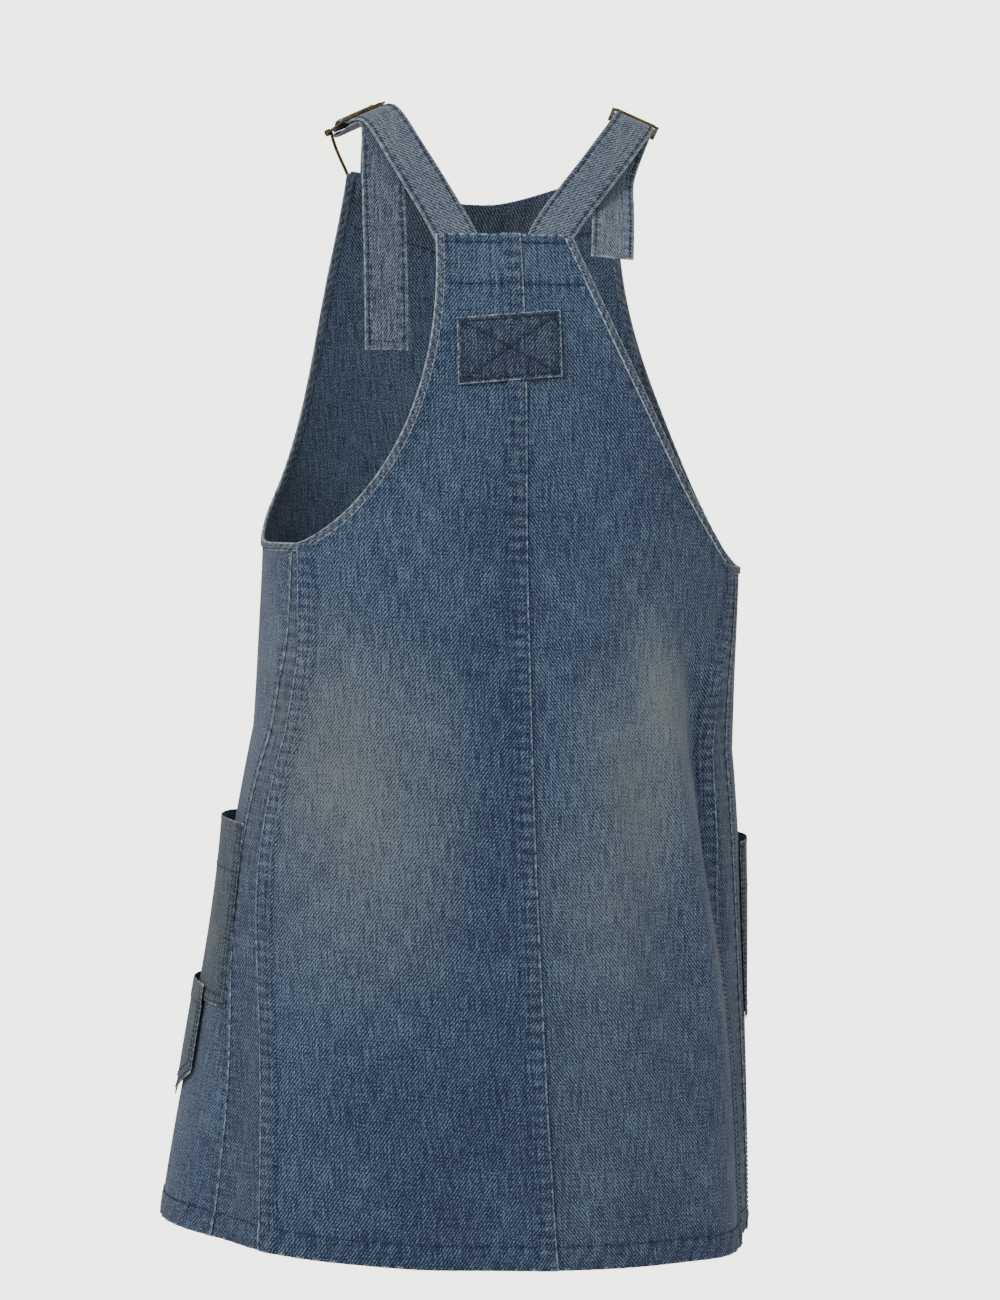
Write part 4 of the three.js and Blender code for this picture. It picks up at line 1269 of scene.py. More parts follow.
@dataclass(frozen=True)
class Hardware:
    """Sizes of a slide, its hook and its button, and where they stand."""

    across: float = 39.0
    along: float = 34.0
    plate: float = 1.6
    bar: float = 3.8
    cheek: float = 3.0
    lift: float = 2.1
    wire: float = 2.6
    cap: float = 17.0
    cap_thick: float = 3.2
    shank: float = 4.6
    button_drop: float = 62.0
    button_angle: float = 150.0
    button_stand: float = DENIM + 1.3 + 3.6

    def seat(self, side: Side) -> Vector:
        """The place on the hook's wire that the button is fixed at."""
        angle, height = np.array(side.value * self.button_angle), np.array(-self.button_drop)
        return Vector(CLOTH.on(angle, height, np.array(self.button_stand)).tolist())

    def slide_frame(self, side: Side) -> Matrix:
        """The slide's own frame: x across the strap, -y towards the button and z up off the shoulder."""
        lie = LIES[side]
        slope = math.radians(lie.slope)
        up = Vector((side.value * math.sin(slope), 0, math.cos(slope)))
        origin = Vector(lie.slide)
        back = origin - self.seat(side)
        back = (back - up * back.dot(up)).normalized()
        across = back.cross(up)
        turned = Matrix((across, back, up)).transposed().to_4x4()
        return Matrix.Translation(origin) @ turned

    def hook_frame(self, side: Side) -> tuple[Matrix, float]:
        """The hook's own frame, whose x is its hinge, and its length down to the button."""
        ahead = -self.along / 2 - self.wire / 2 - GAP
        hinge = self.slide_frame(side) @ Matrix.Translation((0, ahead, self.lift))
        reach = hinge.inverted() @ self.seat(side)
        turned = hinge @ Matrix.Rotation(math.atan2(-reach.z, -reach.y), 4, "X")
        return turned, math.hypot(reach.y, reach.z)

    def button_frame(self, side: Side) -> Matrix:
        """The button's own frame, whose z runs out along its shank from the wire's level."""
        hinge, _ = self.hook_frame(side)
        out = (hinge.to_3x3() @ Vector((0, 0, 1))).normalized()
        turned = Vector((0, 0, 1)).rotation_difference(out).to_matrix().to_4x4()
        return Matrix.Translation(self.seat(side)) @ turned


HARDWARE = Hardware()


def smooth_path(stations: Sequence[tuple[Grid, Grid, Grid]], steps: int) -> tuple[Grid, Grid, Grid]:
    """A smooth band through stations, each a centre, a normal and a direction across.

    Args:
        stations: the places it passes.
        steps: points along it.

    Returns:
        Centres, directions across and normals.
    """
    centre = np.array([s[0] for s in stations], float)
    padded = np.concatenate([[2 * centre[0] - centre[1]], centre, [2 * centre[-1] - centre[-2]]])
    t = np.linspace(0, 1, steps + 1) * (len(centre) - 1)
    k = np.minimum(t.astype(int), len(centre) - 2)
    w = (t - k)[:, None]
    p0, p1, p2, p3 = (padded[k + n] for n in range(4))
    ends = ((p0, p1), (p1, p2), (p2, p3))
    d0, d1, d2 = (np.maximum(np.linalg.norm(b - a, axis=1, keepdims=True) ** 0.5, 1e-4) for a, b in ends)
    m1 = ((p1 - p0) / d0 - (p2 - p0) / (d0 + d1) + (p2 - p1) / d1) * d1
    m2 = ((p2 - p1) / d1 - (p3 - p1) / (d1 + d2) + (p3 - p2) / d2) * d1
    w2, w3 = w * w, w * w * w
    centres = (2 * w3 - 3 * w2 + 1) * p1 + (w3 - 2 * w2 + w) * m1 + (3 * w2 - 2 * w3) * p2 + (w3 - w2) * m2
    far = distances(centres)
    across = unit(np.array([s[2] for s in stations], float))
    acrosses = unit(lerp(across[k], across[k + 1], w))
    even = np.linspace(0, far[-1], steps + 1)
    centres, acrosses = resample(even, far, centres), unit(resample(even, far, acrosses))
    normals = unit(np.cross(np.gradient(centres, axis=0), acrosses))
    facing = np.array([s[1] for s in stations], float)
    facing = resample(even, far, lerp(facing[k], facing[k + 1], w))
    normals = np.where((normals * facing).sum(1, keepdims=True) < 0, -normals, normals)
    return centres, acrosses, normals


@dataclass
class Strap:
    """One shoulder strap, from inside the yoke through the slide, and its turned-back end."""

    side: Side
    inset: float = 30.0
    steps: int = 150
    fold_gap: float = STRAP_THICK + 4 * GAP
    clearance: float = 1.0

    def build(self, thread: Stitching, tail_thread: Stitching) -> None:
        """Makes the strap and its end, with their stitch rows."""
        self.main(thread)
        self.end(tail_thread)

    def local(self, y: float, z: float) -> Grid:
        """A point on the slide's middle line, in its own frame."""
        return np.array(HARDWARE.slide_frame(self.side) @ Vector((0, y, z)))

    def axes(self) -> tuple[Grid, Grid]:
        """The slide's directions across and up."""
        turn = HARDWARE.slide_frame(self.side).to_3x3()
        return np.array(turn @ Vector((1, 0, 0))) * self.side.value, np.array(turn @ Vector((0, 0, 1)))

    def main(self, thread: Stitching) -> None:
        """The strap itself."""
        sign = self.side.value
        across, up = self.axes()
        at = np.array(-CLOTH.yoke)
        sewn = float(CLOTH.degrees(self.inset, np.array(16.0), at)) * sign
        back = CLOTH.normal(np.array(sewn), at)
        root = np.array([sign * 0.8, 0, -0.6])
        root = unit(root - back * (root @ back))
        foot = CLOTH.on(np.array(sewn * 0.86), at - 22, np.array(-STRAP_BURY))
        lip = CLOTH.on(np.array(sewn * 1.2), at + 2, np.array(-STRAP_BURY))
        half = HARDWARE.along / 2
        shoulder = self.local(half + 20, -7)
        middle = lerp(lip, shoulder, 0.55) + np.array([sign * 3, 8, 5])
        window = half - HARDWARE.bar
        over = HARDWARE.lift + HARDWARE.plate / 2 + STRAP_THICK / 2 + 2 * GAP
        stations = [
            (foot, back, root),
            (lip, back, root),
            (middle, lerp(back, up, 0.5), lerp(root, across, 0.6)),
            (shoulder, up, across),
            (self.local(half + 5, -1.2), up, across),
            (self.local(window + 0.5, -0.6), up, across),
            (self.local(HARDWARE.bar / 2 + 1, over - 0.2), up, across),
            (self.local(-HARDWARE.bar / 2 - 1, over - 0.2), up, across),
            (self.local(-window - 0.5, -0.6), up, across),
        ]
        bar = Bar(*smooth_path(stations, self.steps), STRAP_WIDTH, STRAP_THICK)
        skin = bar.skin(0.44, 0.12)
        obj = cloth_object(f"{self.side.label}_strap_cloth", skin, "strap_denim")
        place_cloth(obj, skin, "dress", [f"{self.side.label}_strap"])
        bar.stitch(thread, start=24, stop=20)

    def end(self, tail_thread: Stitching) -> None:
        """The end turned back under the slide and hanging behind the shoulder, in one piece."""
        lie, sign, label = LIES[self.side], self.side.value, self.side.label
        across, up = self.axes()
        top, bottom = np.array(lie.top, float), np.array(lie.bottom, float)
        down = unit(bottom - top)
        tail_across = unit(np.array([sign, 0.0, 0.0]) - down * down[0] * sign)
        normal = unit(np.cross(tail_across, down))
        normal = normal if normal[1] > 0 else -normal
        half, low = HARDWARE.along / 2, -0.8 - self.fold_gap
        bow = float(np.linalg.norm(bottom - top)) / 25
        hang = []
        for s in (0.0, 0.33, 0.67, 1.0):
            hang.append((lerp(top, bottom, s) + normal * bow * math.sin(math.pi * s), normal, tail_across))
        window = half - HARDWARE.bar
        inwards = np.array(HARDWARE.slide_frame(self.side).to_3x3() @ Vector((0, 1, 0)))
        stations = [
            (self.local(-window - 0.4, -0.9), -up, across),
            (self.local(-window - 3.0, -2.4), inwards, across),
            (self.local(-half + 5, low), up, across),
            (self.local(half, low), up, across),
            (self.local(half + 14, -4 - self.fold_gap), up, across),
            (top - down * (24 + self.clearance) - normal, normal, tail_across),
            *hang,
        ]
        bar = Bar(*smooth_path(stations, self.steps), STRAP_WIDTH, STRAP_THICK)
        skin = bar.skin(lie.end_tone, 0.12, end_wear=0.7)
        obj = cloth_object(f"{label}_strap_end", skin, "strap_denim")
        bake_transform(obj)
        place_cloth(obj, skin, None, [f"{label}_strap_fold", f"{label}_strap_tail"])
        edge = bar.stitch(tail_thread, start=78, stop=3)
        centre, direction, out = bar.centres[-3], bar.acrosses[-3], bar.normals[-3]
        span = np.linspace(-edge, edge, STITCH_SAMPLES)[:, None]
        for back_off in (3.0, 9.0):
            line = centre - down * back_off + direction * span + out * (STRAP_THICK / 2)
            tail_thread.row(line, np.repeat(out[None], STITCH_SAMPLES, 0))


# ---- Patch, facings and pockets ----
@dataclass(frozen=True)
class Applied:
    """What an applied piece is: its name, its slot, the CAD node it stands for and what it lies on."""

    name: str
    slot: str
    node: str
    rests: Sequence[str]

    def lay(self, angle: Grid, z: Grid, lift: Grid, tone: Grid, wear: Grid) -> None:
        """Makes the piece from its places, relief and wear, and puts it on the dress."""
        skin = hung_skin(angle, z, lift, tone, wear)
        obj = cloth_object(self.name, skin, self.slot)
        place_cloth(obj, skin, "dress", [self.node])


def edge_distance(s: Grid, t: Grid, width: float, height: float) -> Grid:
    """How far a place on a rectangle is from its nearest edge, from its share across and down."""
    return np.minimum(np.minimum(s, 1 - s) * width, np.minimum(t, 1 - t) * height)


@dataclass
class BackPatch:
    """Blank patch sewn across the centre back, a little out of level, with a stitched border and cross."""

    width: float = 76.0
    height: float = 49.0
    drop: float = 164.0
    tilt: float = 5.0
    inset: float = 3.2
    lift: float = LAP_LIFT + DENIM + GAP

    def place(self, s: Grid, t: Grid) -> tuple[Grid, Grid]:
        """Angle and height of a place, from its share across and down."""
        across = lerp(-self.width / 2, self.width / 2, s)
        z = -self.drop - self.height * t - across * math.tan(math.radians(self.tilt))
        return CLOTH.degrees(1.0, across * 0, z) * across, z

    def build(self, thread: Stitching) -> None:
        """Makes the patch and its stitching."""
        s, t = share_grid(60, 42)
        angle, z = self.place(s, t)
        from_edge = edge_distance(s, t, self.width, self.height)
        cross = np.minimum(np.abs(s - t), np.abs(s + t - 1)) * self.height
        wave = ladder((s * self.width + t * self.height), 8.0, 0.6)
        streak = ladder(s * self.width, 9.0, 1.4)
        border, crossed = beside(from_edge, self.inset, 1.2), beside(cross, 0, 1.4)
        lift = self.lift - 0.35 * border - 0.3 * crossed + 0.12 * wave * beside(from_edge, 3.0, 4.0)
        lift = lift + 0.1 * streak + 0.2 * (beside(s * self.width, 28, 3) + beside(s * self.width, 44, 3))
        # Painted shade: dark lines along the stitched border and cross, where the patch dips.
        tone = -0.06 + 0.14 * wave * beside(from_edge, 3.5, 4.0) - 0.12 * border - 0.1 * crossed
        tone = tone + 0.05 * streak
        wear = 0.85 * (1 - smoothstep(from_edge, 0.5, 1.8))
        Applied("back_patch_cloth", "dark_denim", "back_patch", BACK).lay(angle, z, lift, tone, wear)
        m, n = self.inset / self.width, self.inset / self.height
        a, b, c, d = (m, n), (1 - m, n), (1 - m, 1 - n), (m, 1 - n)
        share = np.linspace(0, 1, 40)
        for (s0, t0), (s1, t1) in ((a, b), (b, c), (c, d), (d, a), (a, c), (b, d)):
            angle, z = self.place(lerp(s0, s1, share), lerp(t0, t1, share))
            stitch_on_cloth(thread, angle, z, self.lift + DENIM + 0.5)


@dataclass
class Facings:
    """The layers inside the yoke and inside the bib."""

    yoke: float = 35.0
    bib: float = 38.0

    def build(self) -> None:
        """Makes both facings."""
        left, right = ARMHOLES[Side.LEFT], ARMHOLES[Side.RIGHT]
        s, t = share_grid(60, 16)
        z = -lerp(CLOTH.yoke, CLOTH.yoke + self.yoke, t)
        angle = lerp(-right.edge_angle(z, True, FACING_INSET), left.edge_angle(z, True, FACING_INSET), s)
        lift = np.full(s.shape, -STRAP_BURY - STRAP_THICK / 2 - 5 * GAP - DENIM)
        yoke = Applied("yoke_lining", "dark_denim", "yoke_facing", BACK)
        yoke.lay(angle, z, lift, 0.04 * np.cos(angle), self.wear(t * self.yoke))
        s, t = share_grid(110, 18)
        z = -lerp(left.bib_drop, left.bib_drop + self.bib, t)
        last = 360 - right.edge_angle(z, False, FACING_INSET)
        angle = lerp(left.edge_angle(z, False, FACING_INSET), last, s)
        lift = np.full(s.shape, -2 * GAP - DENIM)
        bib = Applied("bib_lining", "dark_denim", "bib_facing", FRONT)
        bib.lay(angle, z - left.sag(angle), lift, 0.04 * np.cos(angle), self.wear(t * self.bib))

    def wear(self, down: Grid) -> Grid:
        """How rubbed a facing is, by the distance from its top edge."""
        return 0.5 * (1 - smoothstep(down, 0.5, 2))


def pocket_rows(from_edge: Grid) -> Grid:
    """1 on a pocket's two stitch rows and falling off beside them."""
    return sum(beside(from_edge, inset, 1.0) for inset in POCKET_ROWS)


@dataclass
class Pocket:
    """A big front pocket whose mouth gapes, with a faced mouth and double-stitched sides."""

    side: Side
    drop: float = 551.0
    height: float = 138.0
    start: float = 74.0
    span: float = 50.0
    gape: float = 9.0
    stand: float = 0.4
    band: float = 37
    per_degree: float = 3.75

    def lift(self, s: Grid, t: Grid) -> Grid:
        """How far the pocket's cloth stands off: tight at its sides and foot, gaping at its mouth."""
        return LAP_LIFT + self.stand + self.gape * (1 - t) ** 1.5 * np.sin(np.pi * np.clip(s, 0, 1)) ** 0.8

    def build(self, thread: Stitching) -> None:
        """Makes the pocket and its stitching."""
        sign = self.side.value
        s, t = share_grid(80, 66)
        z = -lerp(self.drop, self.drop + self.height, t)
        angle = sign * (self.start + self.span * s)
        width = self.per_degree * self.span
        from_edge = np.minimum(np.minimum(s, 1 - s) * width, (1 - t) * self.height)
        down = t * self.height
        wave = ladder(s * width, 8.5, 0.5)
        side_wave = ladder(z, 8.5, 1.5)
        rows, at_band = pocket_rows(from_edge), beside(down, self.band, 1.4)
        puckers, side_puckers = beside(down, self.band, 6), side_wave * beside(from_edge, 5, 5)
        lift = self.lift(s, t) - 0.3 * rows - 0.35 * at_band
        lift = lift + 0.22 * wave * puckers + 0.2 * side_puckers + 0.4 * (1 - smoothstep(down, 1.5, 4))
        # Painted shade: dark lines along the stitch rows and the band's row, where the pocket dips.
        tone = -0.05 - 0.1 * (rows + at_band)
        tone = tone + 0.13 * wave * (puckers + beside(down, 4, 4)) + 0.12 * side_puckers
        wear = 0.75 * (1 - smoothstep(down, 0.6, 2.4)) + 0.6 * (1 - smoothstep(from_edge, 0.5, 1.9))
        name = f"{self.side.label}_pocket"
        piece = Applied(f"{name}_cloth", "pocket_denim", name, [f"front_{self.side.label}_cloth"])
        piece.lay(angle, z, lift, tone, wear)
        share = np.linspace(0, 1, 60)
        for inset in POCKET_ROWS:
            m, n = inset / width, 1 - inset / self.height
            for s0, t0, s1, t1 in ((m, 0.02, m, n), (m, n, 1 - m, n), (1 - m, n, 1 - m, 0.02)):
                self.row(thread, lerp(s0, s1, share), lerp(t0, t1, share))
        self.row(thread, lerp(0.015, 0.985, share), share * 0 + self.band / self.height)

    def row(self, thread: Stitching, s: Grid, t: Grid) -> None:
        """Adds a stitch row along shares across and down the pocket."""
        z = -lerp(self.drop, self.drop + self.height, t)
        angle = self.side.value * (self.start + self.span * s)
        line = CLOTH.on(angle, z, self.lift(s, t) + DENIM - 0.2)
        thread.row(line, CLOTH.normal(angle, z))


@dataclass
class SmallPocket:
    """Pointed pocket over the big pocket's lower edge, with a banded mouth and double-stitched edges."""

    drop: float = 677.0
    height: float = 66.0
    point: float = 24.0
    start: float = 86.0
    span: float = 26.0
    band: float = 15.0
    gape: float = 2.5
    per_degree: float = 3.9
    under: float = 2 * (LAP_LIFT + Pocket.stand)

    def foot(self, s: Grid) -> Grid:
        """How long the pocket is at a share across it."""
        return self.height + self.point * (1 - np.abs(2 * s - 1))

    def place(self, s: Grid, t: Grid) -> tuple[Grid, Grid, Grid]:
        """Angle, height and lift of a place, from its share across and down."""
        lift = self.under + self.gape * (1 - t) * np.sin(np.pi * np.clip(s, 0, 1))
        return self.start + self.span * s, -self.drop - self.foot(s) * t, lift

    def build(self, thread: Stitching) -> None:
        """Makes the pocket and its stitching."""
        s, t = share_grid(61, 60)
        angle, z, lift = self.place(s, t)
        width, foot = self.per_degree * self.span, self.foot(s)
        down = t * foot
        from_edge = np.minimum(np.minimum(s, 1 - s) * width, (foot - down) * 0.9)
        wave = ladder(s * width + down, 8.0, 2.2)
        rows, puckers = pocket_rows(from_edge), beside(from_edge, 5, 5)
        banded = 1 - smoothstep(down, self.band - 1, self.band + 1)
        lift = lift - 0.3 * rows + 0.6 * banded + 0.2 * wave * puckers
        # Painted shade: dark lines along the stitch rows and at the foot of the raised band, where the pocket
        # dips.
        tone = 0.02 - 0.1 * rows + 0.13 * wave * (puckers + beside(down, self.band, 5))
        tone = tone - 0.12 * beside(down, self.band, 1.5)
        wear = 0.78 * (1 - smoothstep(from_edge, 0.5, 2.2)) + 0.75 * (1 - smoothstep(down, 0.5, 2.0))
        piece = Applied("small_pocket_cloth", "pocket_denim", "small_pocket", ["left_pocket_cloth"])
        piece.lay(angle, z, lift, tone, wear)
        share = np.linspace(0, 1, 50)
        for inset in POCKET_ROWS:
            m = inset / width
            n = 1 - (inset + 1) / self.height
            sides = ((m, 0.03, m, n), (m, n, 0.5, n), (0.5, n, 1 - m, n), (1 - m, n, 1 - m, 0.03))
            for s0, t0, s1, t1 in sides:
                self.row(thread, lerp(s0, s1, share), lerp(t0, t1, share))
        for down_by in (POCKET_ROWS[0], self.band):
            self.row(thread, lerp(0.03, 0.97, share), down_by / self.foot(share))

    def row(self, thread: Stitching, s: Grid, t: Grid) -> None:
        """Adds a stitch row along shares across and down the pocket."""
        angle, z, lift = self.place(s, t)
        thread.row(CLOTH.on(angle, z, lift + DENIM), CLOTH.normal(angle, z))


@dataclass
class SeamStitching:
    """Stitch rows of the panels' own seams, the yoke, the bib and the hem."""

    top: float = LAP_LIFT + DENIM - 0.05

    def build(self, thread: Stitching) -> None:
        """Adds every row."""
        z = np.linspace(-CLOTH.yoke - 8, -CLOTH.length + 3, 500)
        clear = (z > -BackPatch().drop + 6) | (z < -BackPatch().drop - BackPatch().height - 3)
        for offset in reversed(SEAM_ROWS):
            angle = CLOTH.degrees(-offset, z * 0, z)
            for part in (z > -160, z < -216):
                kept = part & clear
                stitch_on_cloth(thread, angle[kept], z[kept], self.top)
        for hole in ARMHOLES.values():
            self.side_rows(thread, hole)
        self.yoke(thread)
        around = np.linspace(-178.5, 178.5, 900)
        stitch_on_cloth(thread, around, np.full(around.shape, -CLOTH.length + HEM.height), DENIM + 0.15)

    def side_rows(self, thread: Stitching, hole: Armhole) -> None:
        """The side seams' two rows and the side-front and centre-front seams' rows."""
        sign = hole.side.value
        z = np.linspace(-CLOTH.armhole - 6, -CLOTH.length + 3, 400)
        for offset in SEAM_ROWS:
            seam = hole.side_seam(z)
            stitch_on_cloth(thread, sign * (seam + CLOTH.degrees(offset, sign * seam, z)), z, self.top)
        seam = hole.front_seam(z)
        stitch_on_cloth(thread, sign * (seam + CLOTH.degrees(2.2, sign * seam, z)), z, DENIM + 0.85)
        z = np.linspace(-75, -CLOTH.length + 3, 500)
        stitch_on_cloth(thread, sign * (180 - CLOTH.degrees(6.0, z * 0 + 180, z)), z, DENIM + 0.6)

    def yoke(self, thread: Stitching) -> None:
        """The rows along the yoke's top, its facing's foot and the bib's top."""
        left, right = ARMHOLES[Side.LEFT], ARMHOLES[Side.RIGHT]
        for below in YOKE_ROWS:
            z = -CLOTH.yoke - below
            first, last = (float(hole.edge_angle(z, True, 8)) for hole in (right, left))
            angle = np.linspace(-first, last, 120)
            stitch_on_cloth(thread, angle, np.full(angle.shape, z), DENIM + 0.75)
        for below in BIB_ROWS:
            z = -left.bib_drop - below
            first, last = (float(hole.edge_angle(z, False, 8)) for hole in (left, right))
            angle = np.linspace(first, 360 - last, 240)
            stitch_on_cloth(thread, angle, z - left.sag(angle), DENIM + 0.1)


# ---- Metal ----
def choose(obj: bpy.types.Object) -> None:
    """Selects one object and nothing else."""
    bpy.ops.object.select_all(action="DESELECT")
    obj.select_set(True)
    bpy.context.view_layer.objects.active = obj


def begin(kind: Callable[..., object], **settings: object) -> bpy.types.Object:
    """Adds a primitive with nothing else selected.

    Args:
        kind: the operator that adds it.
        **settings: the operator's settings.

    Returns:
        The new object.
    """
    if bpy.context.object and bpy.context.object.mode != "OBJECT":
        bpy.ops.object.mode_set(mode="OBJECT")
    bpy.ops.object.select_all(action="DESELECT")
    kind(**settings)
    return bpy.context.object


def pick_faces(obj: bpy.types.Object, wanted: Callable[[Vector, Vector], bool]) -> None:
    """Selects the faces whose centre and normal are wanted, and nothing else, and stays in edit mode."""
    bpy.ops.object.mode_set(mode="EDIT")
    bpy.ops.mesh.select_mode(type="FACE")
    bpy.ops.mesh.select_all(action="DESELECT")
    bpy.ops.object.mode_set(mode="OBJECT")
    for face in obj.data.polygons:
        face.select = wanted(face.center, face.normal)
    bpy.ops.object.mode_set(mode="EDIT")


def complete(
    obj: bpy.types.Object, name: str, place: Matrix, body: str, nodes: Sequence[str], soften: float = 0.35
) -> bpy.types.Object:
    """Softens a metal piece's edges, puts it in its place and on its body.

    Args:
        obj: the piece, in millimetres in its own frame.
        name: its name.
        place: its frame.
        body: the body it rides on.
        nodes: the CAD nodes it stands for.
        soften: width of its rounded edges.

    Returns:
        The finished piece.
    """
    if obj.mode != "OBJECT":
        bpy.ops.object.mode_set(mode="OBJECT")
    choose(obj)
    if soften:
        bevel = obj.modifiers.new("edges", "BEVEL")
        bevel.width = soften
        bevel.segments = 3
        bevel.limit_method = "ANGLE"
        bevel.angle_limit = math.radians(35)
        bpy.ops.object.modifier_apply(modifier="edges")
    obj.name = obj.data.name = name
    obj.data.transform(Matrix.Scale(MM, 4) @ place @ obj.matrix_world)
    obj.matrix_world = Matrix.Identity(4)
    bpy.ops.object.mode_set(mode="EDIT")
    bpy.ops.mesh.select_all(action="SELECT")
    bpy.ops.mesh.normals_make_consistent(inside=False)
    bpy.ops.object.mode_set(mode="OBJECT")
    bpy.ops.object.shade_smooth_by_angle(angle=math.radians(40))
    obj.data.materials.clear()
    obj.data.materials.append(WARDROBE.made["brass"])
    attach(obj, body)
    if nodes:
        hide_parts(*nodes)
    LOG.info("%s: %d faces", name, len(obj.data.polygons))
    return obj


@dataclass
class Buckle:
    """One strap's metal: the stamped slide with its rolled knuckles, the wire hook and the bib button."""

    side: Side
    knuckle: float = 5.2
    knuckle_long: float = 4.0
    cells: int = 9
    legs: float = 0.22
    overlap: float = 1.5

    def build(self) -> None:
        """Makes the slide, hook and button, and dresses the button's tack."""
        self.slide()
        self.hook()
        self.button()
        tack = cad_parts[f"{self.side.label}_button_tack"]
        tack.data.materials.clear()
        tack.data.materials.append(WARDROBE.made["brass"])

    def slide(self) -> None:
        """A frame with two windows, raised ribs and a knuckle at each end of its front edge."""
        h = HARDWARE
        obj = begin(bpy.ops.mesh.primitive_grid_add, x_subdivisions=13, y_subdivisions=self.cells, size=1.0)
        bpy.ops.transform.resize(value=(h.across, h.along, 1))
        bpy.ops.object.transform_apply(location=False, rotation=False, scale=True)
        cell = h.along / self.cells
        pick_faces(obj, lambda p, n: abs(p.x) < h.across / 2 - h.cheek and cell * 0.5 < abs(p.y) < cell * 3.5)
        bpy.ops.mesh.delete(type="FACE")
        bpy.ops.mesh.select_all(action="SELECT")
        bpy.ops.mesh.extrude_region_move(TRANSFORM_OT_translate={"value": (0, 0, h.plate)})
        reach = h.across / 2 - 4
        pick_faces(obj, lambda p, n: n.z > 0.9 and abs(abs(p.y) - cell * 4) < cell * 0.4 and abs(p.x) < reach)
        bpy.ops.mesh.inset(thickness=0.7)
        bpy.ops.transform.translate(value=(0, 0, 0.7))
        bpy.ops.object.mode_set(mode="OBJECT")
        bpy.ops.transform.translate(value=(0, 0, h.lift - h.plate / 2))
        bpy.ops.object.transform_apply(location=True, rotation=False, scale=False)
        ears = []
        for way in (-1, 1):
            ear = begin(
                bpy.ops.mesh.primitive_cylinder_add,
                vertices=24,
                radius=self.knuckle / 2,
                depth=self.knuckle_long,
                rotation=(0, math.pi / 2, 0),
                location=(way * (h.across / 2 - self.knuckle_long / 2), -h.along / 2 - h.wire / 2, h.lift),
            )
            bpy.ops.object.transform_apply(location=True, rotation=True, scale=False)
            pick_faces(ear, lambda p, n: abs(n.x) > 0.9)
            bpy.ops.mesh.inset(thickness=0.9)
            bpy.ops.mesh.extrude_region_shrink_fatten(TRANSFORM_OT_shrink_fatten={"value": -0.8})
            bpy.ops.object.mode_set(mode="OBJECT")
            ears.append(ear)
        bpy.ops.object.select_all(action="DESELECT")
        for piece in (*ears, obj):
            piece.select_set(True)
        bpy.context.view_layer.objects.active = obj
        bpy.ops.object.join()
        label = self.side.label
        complete(obj, f"{label}_slide_plate", h.slide_frame(self.side), "dress", [f"{label}_slide"])

    def hook(self) -> None:
        """The bent wire whose round end holds the button."""
        h = HARDWARE
        place, length = h.hook_frame(self.side)
        half, ring = h.across / 2 - 5, h.shank / 2 + h.wire / 2 + 2 * GAP
        data = bpy.data.curves.new("wire", "CURVE")
        data.dimensions = "3D"
        data.bevel_depth, data.bevel_resolution, data.use_fill_caps = h.wire / 2, 4, True
        spline = data.splines.new("POLY")
        path = []
        for t in np.linspace(0, 1, 81):
            s, way = abs(2 * t - 1), -1 if t < 0.5 else 1
            if s < self.legs:
                a = s / self.legs * math.pi / 2
                path.append((way * ring * math.sin(a), -length - ring * math.cos(a), 0.0))
            else:
                up = (s - self.legs) / (1 - self.legs)
                x = way * float(lerp(ring, half, smoothstep(up, 0, 1)))
                path.append((x, float(lerp(-length, 0, up)), 0.0))
        path = [(path[0][0] - self.overlap, 0.0, 0.0), *path, (path[-1][0] + self.overlap, 0.0, 0.0)]
        spline.points.add(len(path) - 1)
        for point, spot in zip(spline.points, path):
            point.co = (*spot, 1.0)
        obj = bpy.data.objects.new("wire", data)
        bpy.context.scene.collection.objects.link(obj)
        choose(obj)
        bpy.ops.object.convert(target="MESH")
        name = f"{self.side.label}_hook"
        complete(bpy.context.object, f"{name}_wire_bent", place, f"{name}_wire", [name], 0.0)

    def button(self) -> None:
        """A domed cap with a dished face and a rolled rim, turned up ring by ring from its underside."""
        h = HARDWARE
        r, low = h.cap / 2, h.wire / 2 + GAP
        high = low + h.cap_thick
        rings = [(r - 0.8, low), (r, low + 0.8), (r - 0.3, low + 1.7), (r - 1.2, high - 0.6)]
        rings += [(r - 2.2, high - 0.5), (r - 2.7, high - 1.0), (r - 4.5, high - 0.6), (2.0, high - 0.1)]
        radius, height = rings[0]
        obj = begin(
            bpy.ops.mesh.primitive_circle_add,
            vertices=48,
            radius=radius,
            fill_type="NGON",
            location=(0, 0, height),
        )
        bpy.ops.object.transform_apply(location=True, rotation=False, scale=False)
        bpy.ops.object.mode_set(mode="EDIT")
        bpy.ops.mesh.select_all(action="SELECT")
        for (r0, z0), (r1, z1) in zip(rings, rings[1:]):
            bpy.ops.mesh.extrude_region_move(TRANSFORM_OT_translate={"value": (0, 0, z1 - z0)})
            bpy.ops.transform.resize(value=(r1 / r0, r1 / r0, 1), center_override=(0, 0, z1))
        label = self.side.label
        node, place = f"{label}_button_cap", h.button_frame(self.side)
        complete(obj, f"{label}_button_face", place, f"{label}_cap", [node], 0.15)


# ---- Studio ----
Place = tuple[float, float, float]


def aim(eye: Place, target: Place) -> Euler:
    """How a camera or a light at one place turns to face another."""
    return (Vector(target) - Vector(eye)).to_track_quat("-Z", "Y").to_euler()


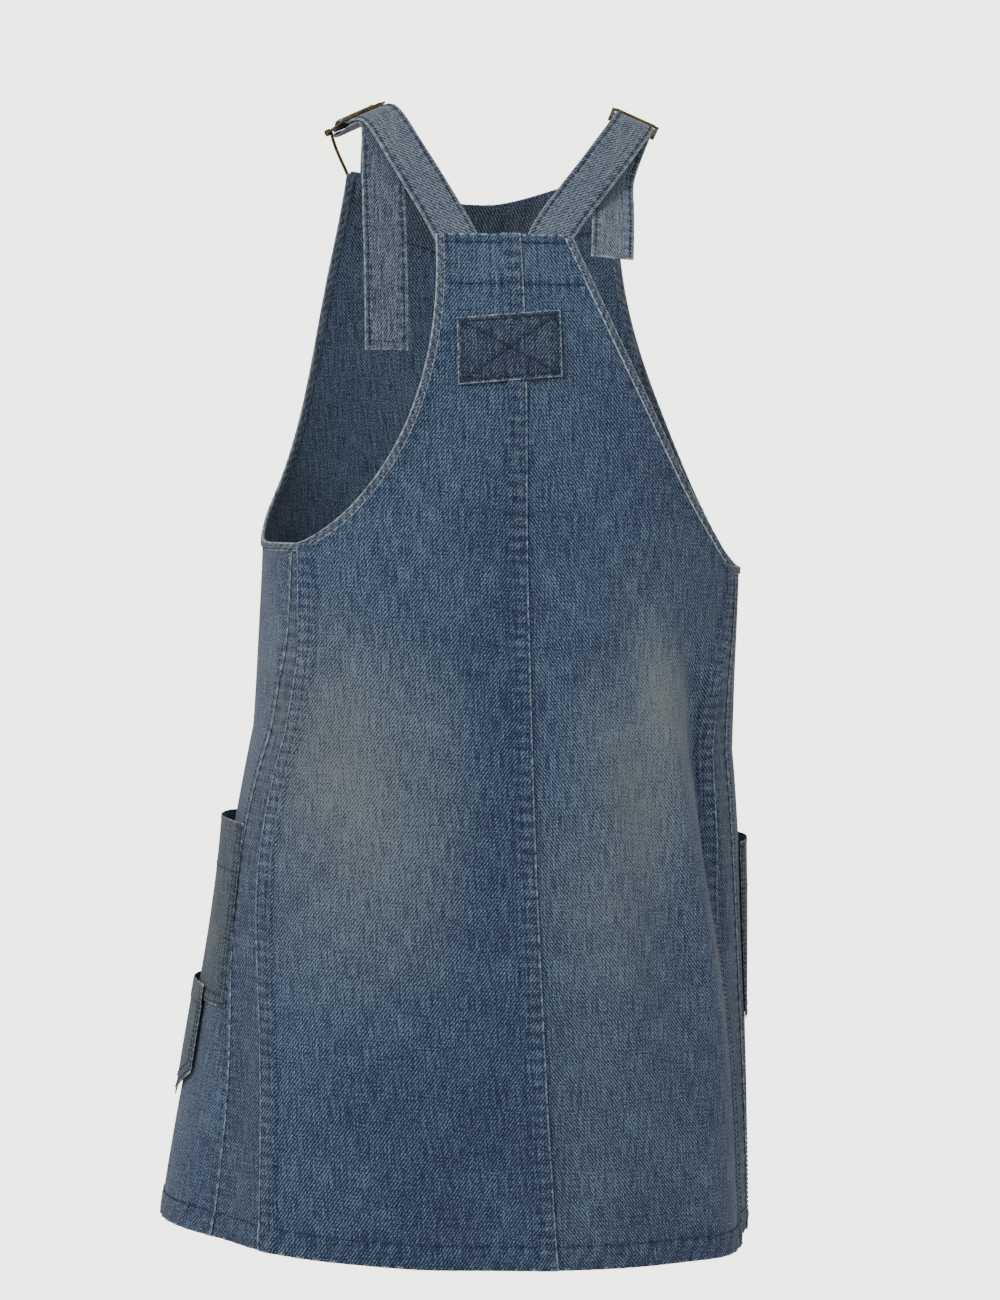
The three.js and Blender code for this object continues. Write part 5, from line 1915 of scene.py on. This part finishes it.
@dataclass
class Studio:
    """Camera, lights and floor."""

    eye: Place = (0.3201, 2.2776, -0.3504)
    target: Place = (-0.00758, 0.00107, -0.4116)
    lit: Place = (0, 0, -0.42)
    lens: float = 83.26
    floor: float = -1.62
    paper: str = "f2f1ed"
    ambient: float = 0.85
    backdrop: float = 4.3

    def build(self) -> None:
        """Sets up the studio."""
        data = bpy.data.cameras.new("camera")
        data.lens, data.sensor_width = self.lens, 36.0
        data.clip_start, data.clip_end = 0.05, 60.0
        camera = bpy.data.objects.new("camera", data)
        bpy.context.scene.collection.objects.link(camera)
        camera.location = self.eye
        camera.rotation_euler = aim(self.eye, self.target)
        bpy.context.scene.camera = camera
        world = bpy.data.worlds.new("studio")
        world.use_nodes = True
        nodes, links = world.node_tree.nodes, world.node_tree.links
        nodes["Background"].inputs[0].default_value = linear(self.paper)
        seen = nodes.new("ShaderNodeLightPath")
        level = nodes.new("ShaderNodeMix")
        level.inputs[2].default_value, level.inputs[3].default_value = self.ambient, self.backdrop
        links.new(seen.outputs["Is Camera Ray"], level.inputs[0])
        links.new(level.outputs[0], nodes["Background"].inputs[1])
        bpy.context.scene.world = world
        self.light("key", (1.9, 1.9, 1.2), 1.2, 62.0)
        self.light("fill", (-2.2, 1.6, 0.2), 1.8, 8.0)
        self.light("front", (-0.9, -2.4, 0.8), 1.8, 14.0)
        disc = {"vertices": 96, "radius": 2.3, "fill_type": "NGON", "location": (0, 0, self.floor)}
        floor = begin(bpy.ops.mesh.primitive_circle_add, **disc)
        floor.name = "studio_floor"
        recipe = Recipe("pale_floor")
        floor.data.materials.append(recipe.finish(linear(self.paper), 0.9, None, 0.0))
        floor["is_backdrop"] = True

    def light(self, name: str, place: Place, size: float, power: float) -> None:
        """Adds a soft square light aimed at the dress."""
        data = bpy.data.lights.new(name, "AREA")
        data.size, data.energy = size, power
        lamp = bpy.data.objects.new(name, data)
        bpy.context.scene.collection.objects.link(lamp)
        lamp.location = place
        lamp.rotation_euler = aim(place, self.lit)


def corners() -> list[list[float]]:
    """The shown object's lowest and highest corner."""
    return [list(corner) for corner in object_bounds()]


def main() -> None:
    """Builds the dress piece by piece."""
    logging.basicConfig(level=logging.INFO, format="%(name)s: %(message)s")
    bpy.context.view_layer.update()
    Studio().build()
    WARDROBE.prepare()
    dress_thread = Stitching("dress_stitching")
    strap_thread = Stitching("strap_stitching", pitch=3.2, length=2.4)
    for side in Side:
        Buckle(side).build()
        BackPanel(side).build()
        ArmholeEdge(side).build(dress_thread)
        SidePanel(side).build()
        FrontPanel(side).build()
        Pocket(side).build(dress_thread)
        tail_thread = Stitching(f"{side.label}_tail_stitching", f"{side.label}_tail", pitch=3.2, length=2.4)
        Strap(side).build(strap_thread, tail_thread)
        tail_thread.build()
    Facings().build()
    BackPatch().build(dress_thread)
    SmallPocket().build(dress_thread)
    SeamStitching().build(dress_thread)
    dress_thread.build()
    strap_thread.build()


if __name__ == "__main__":
    main()
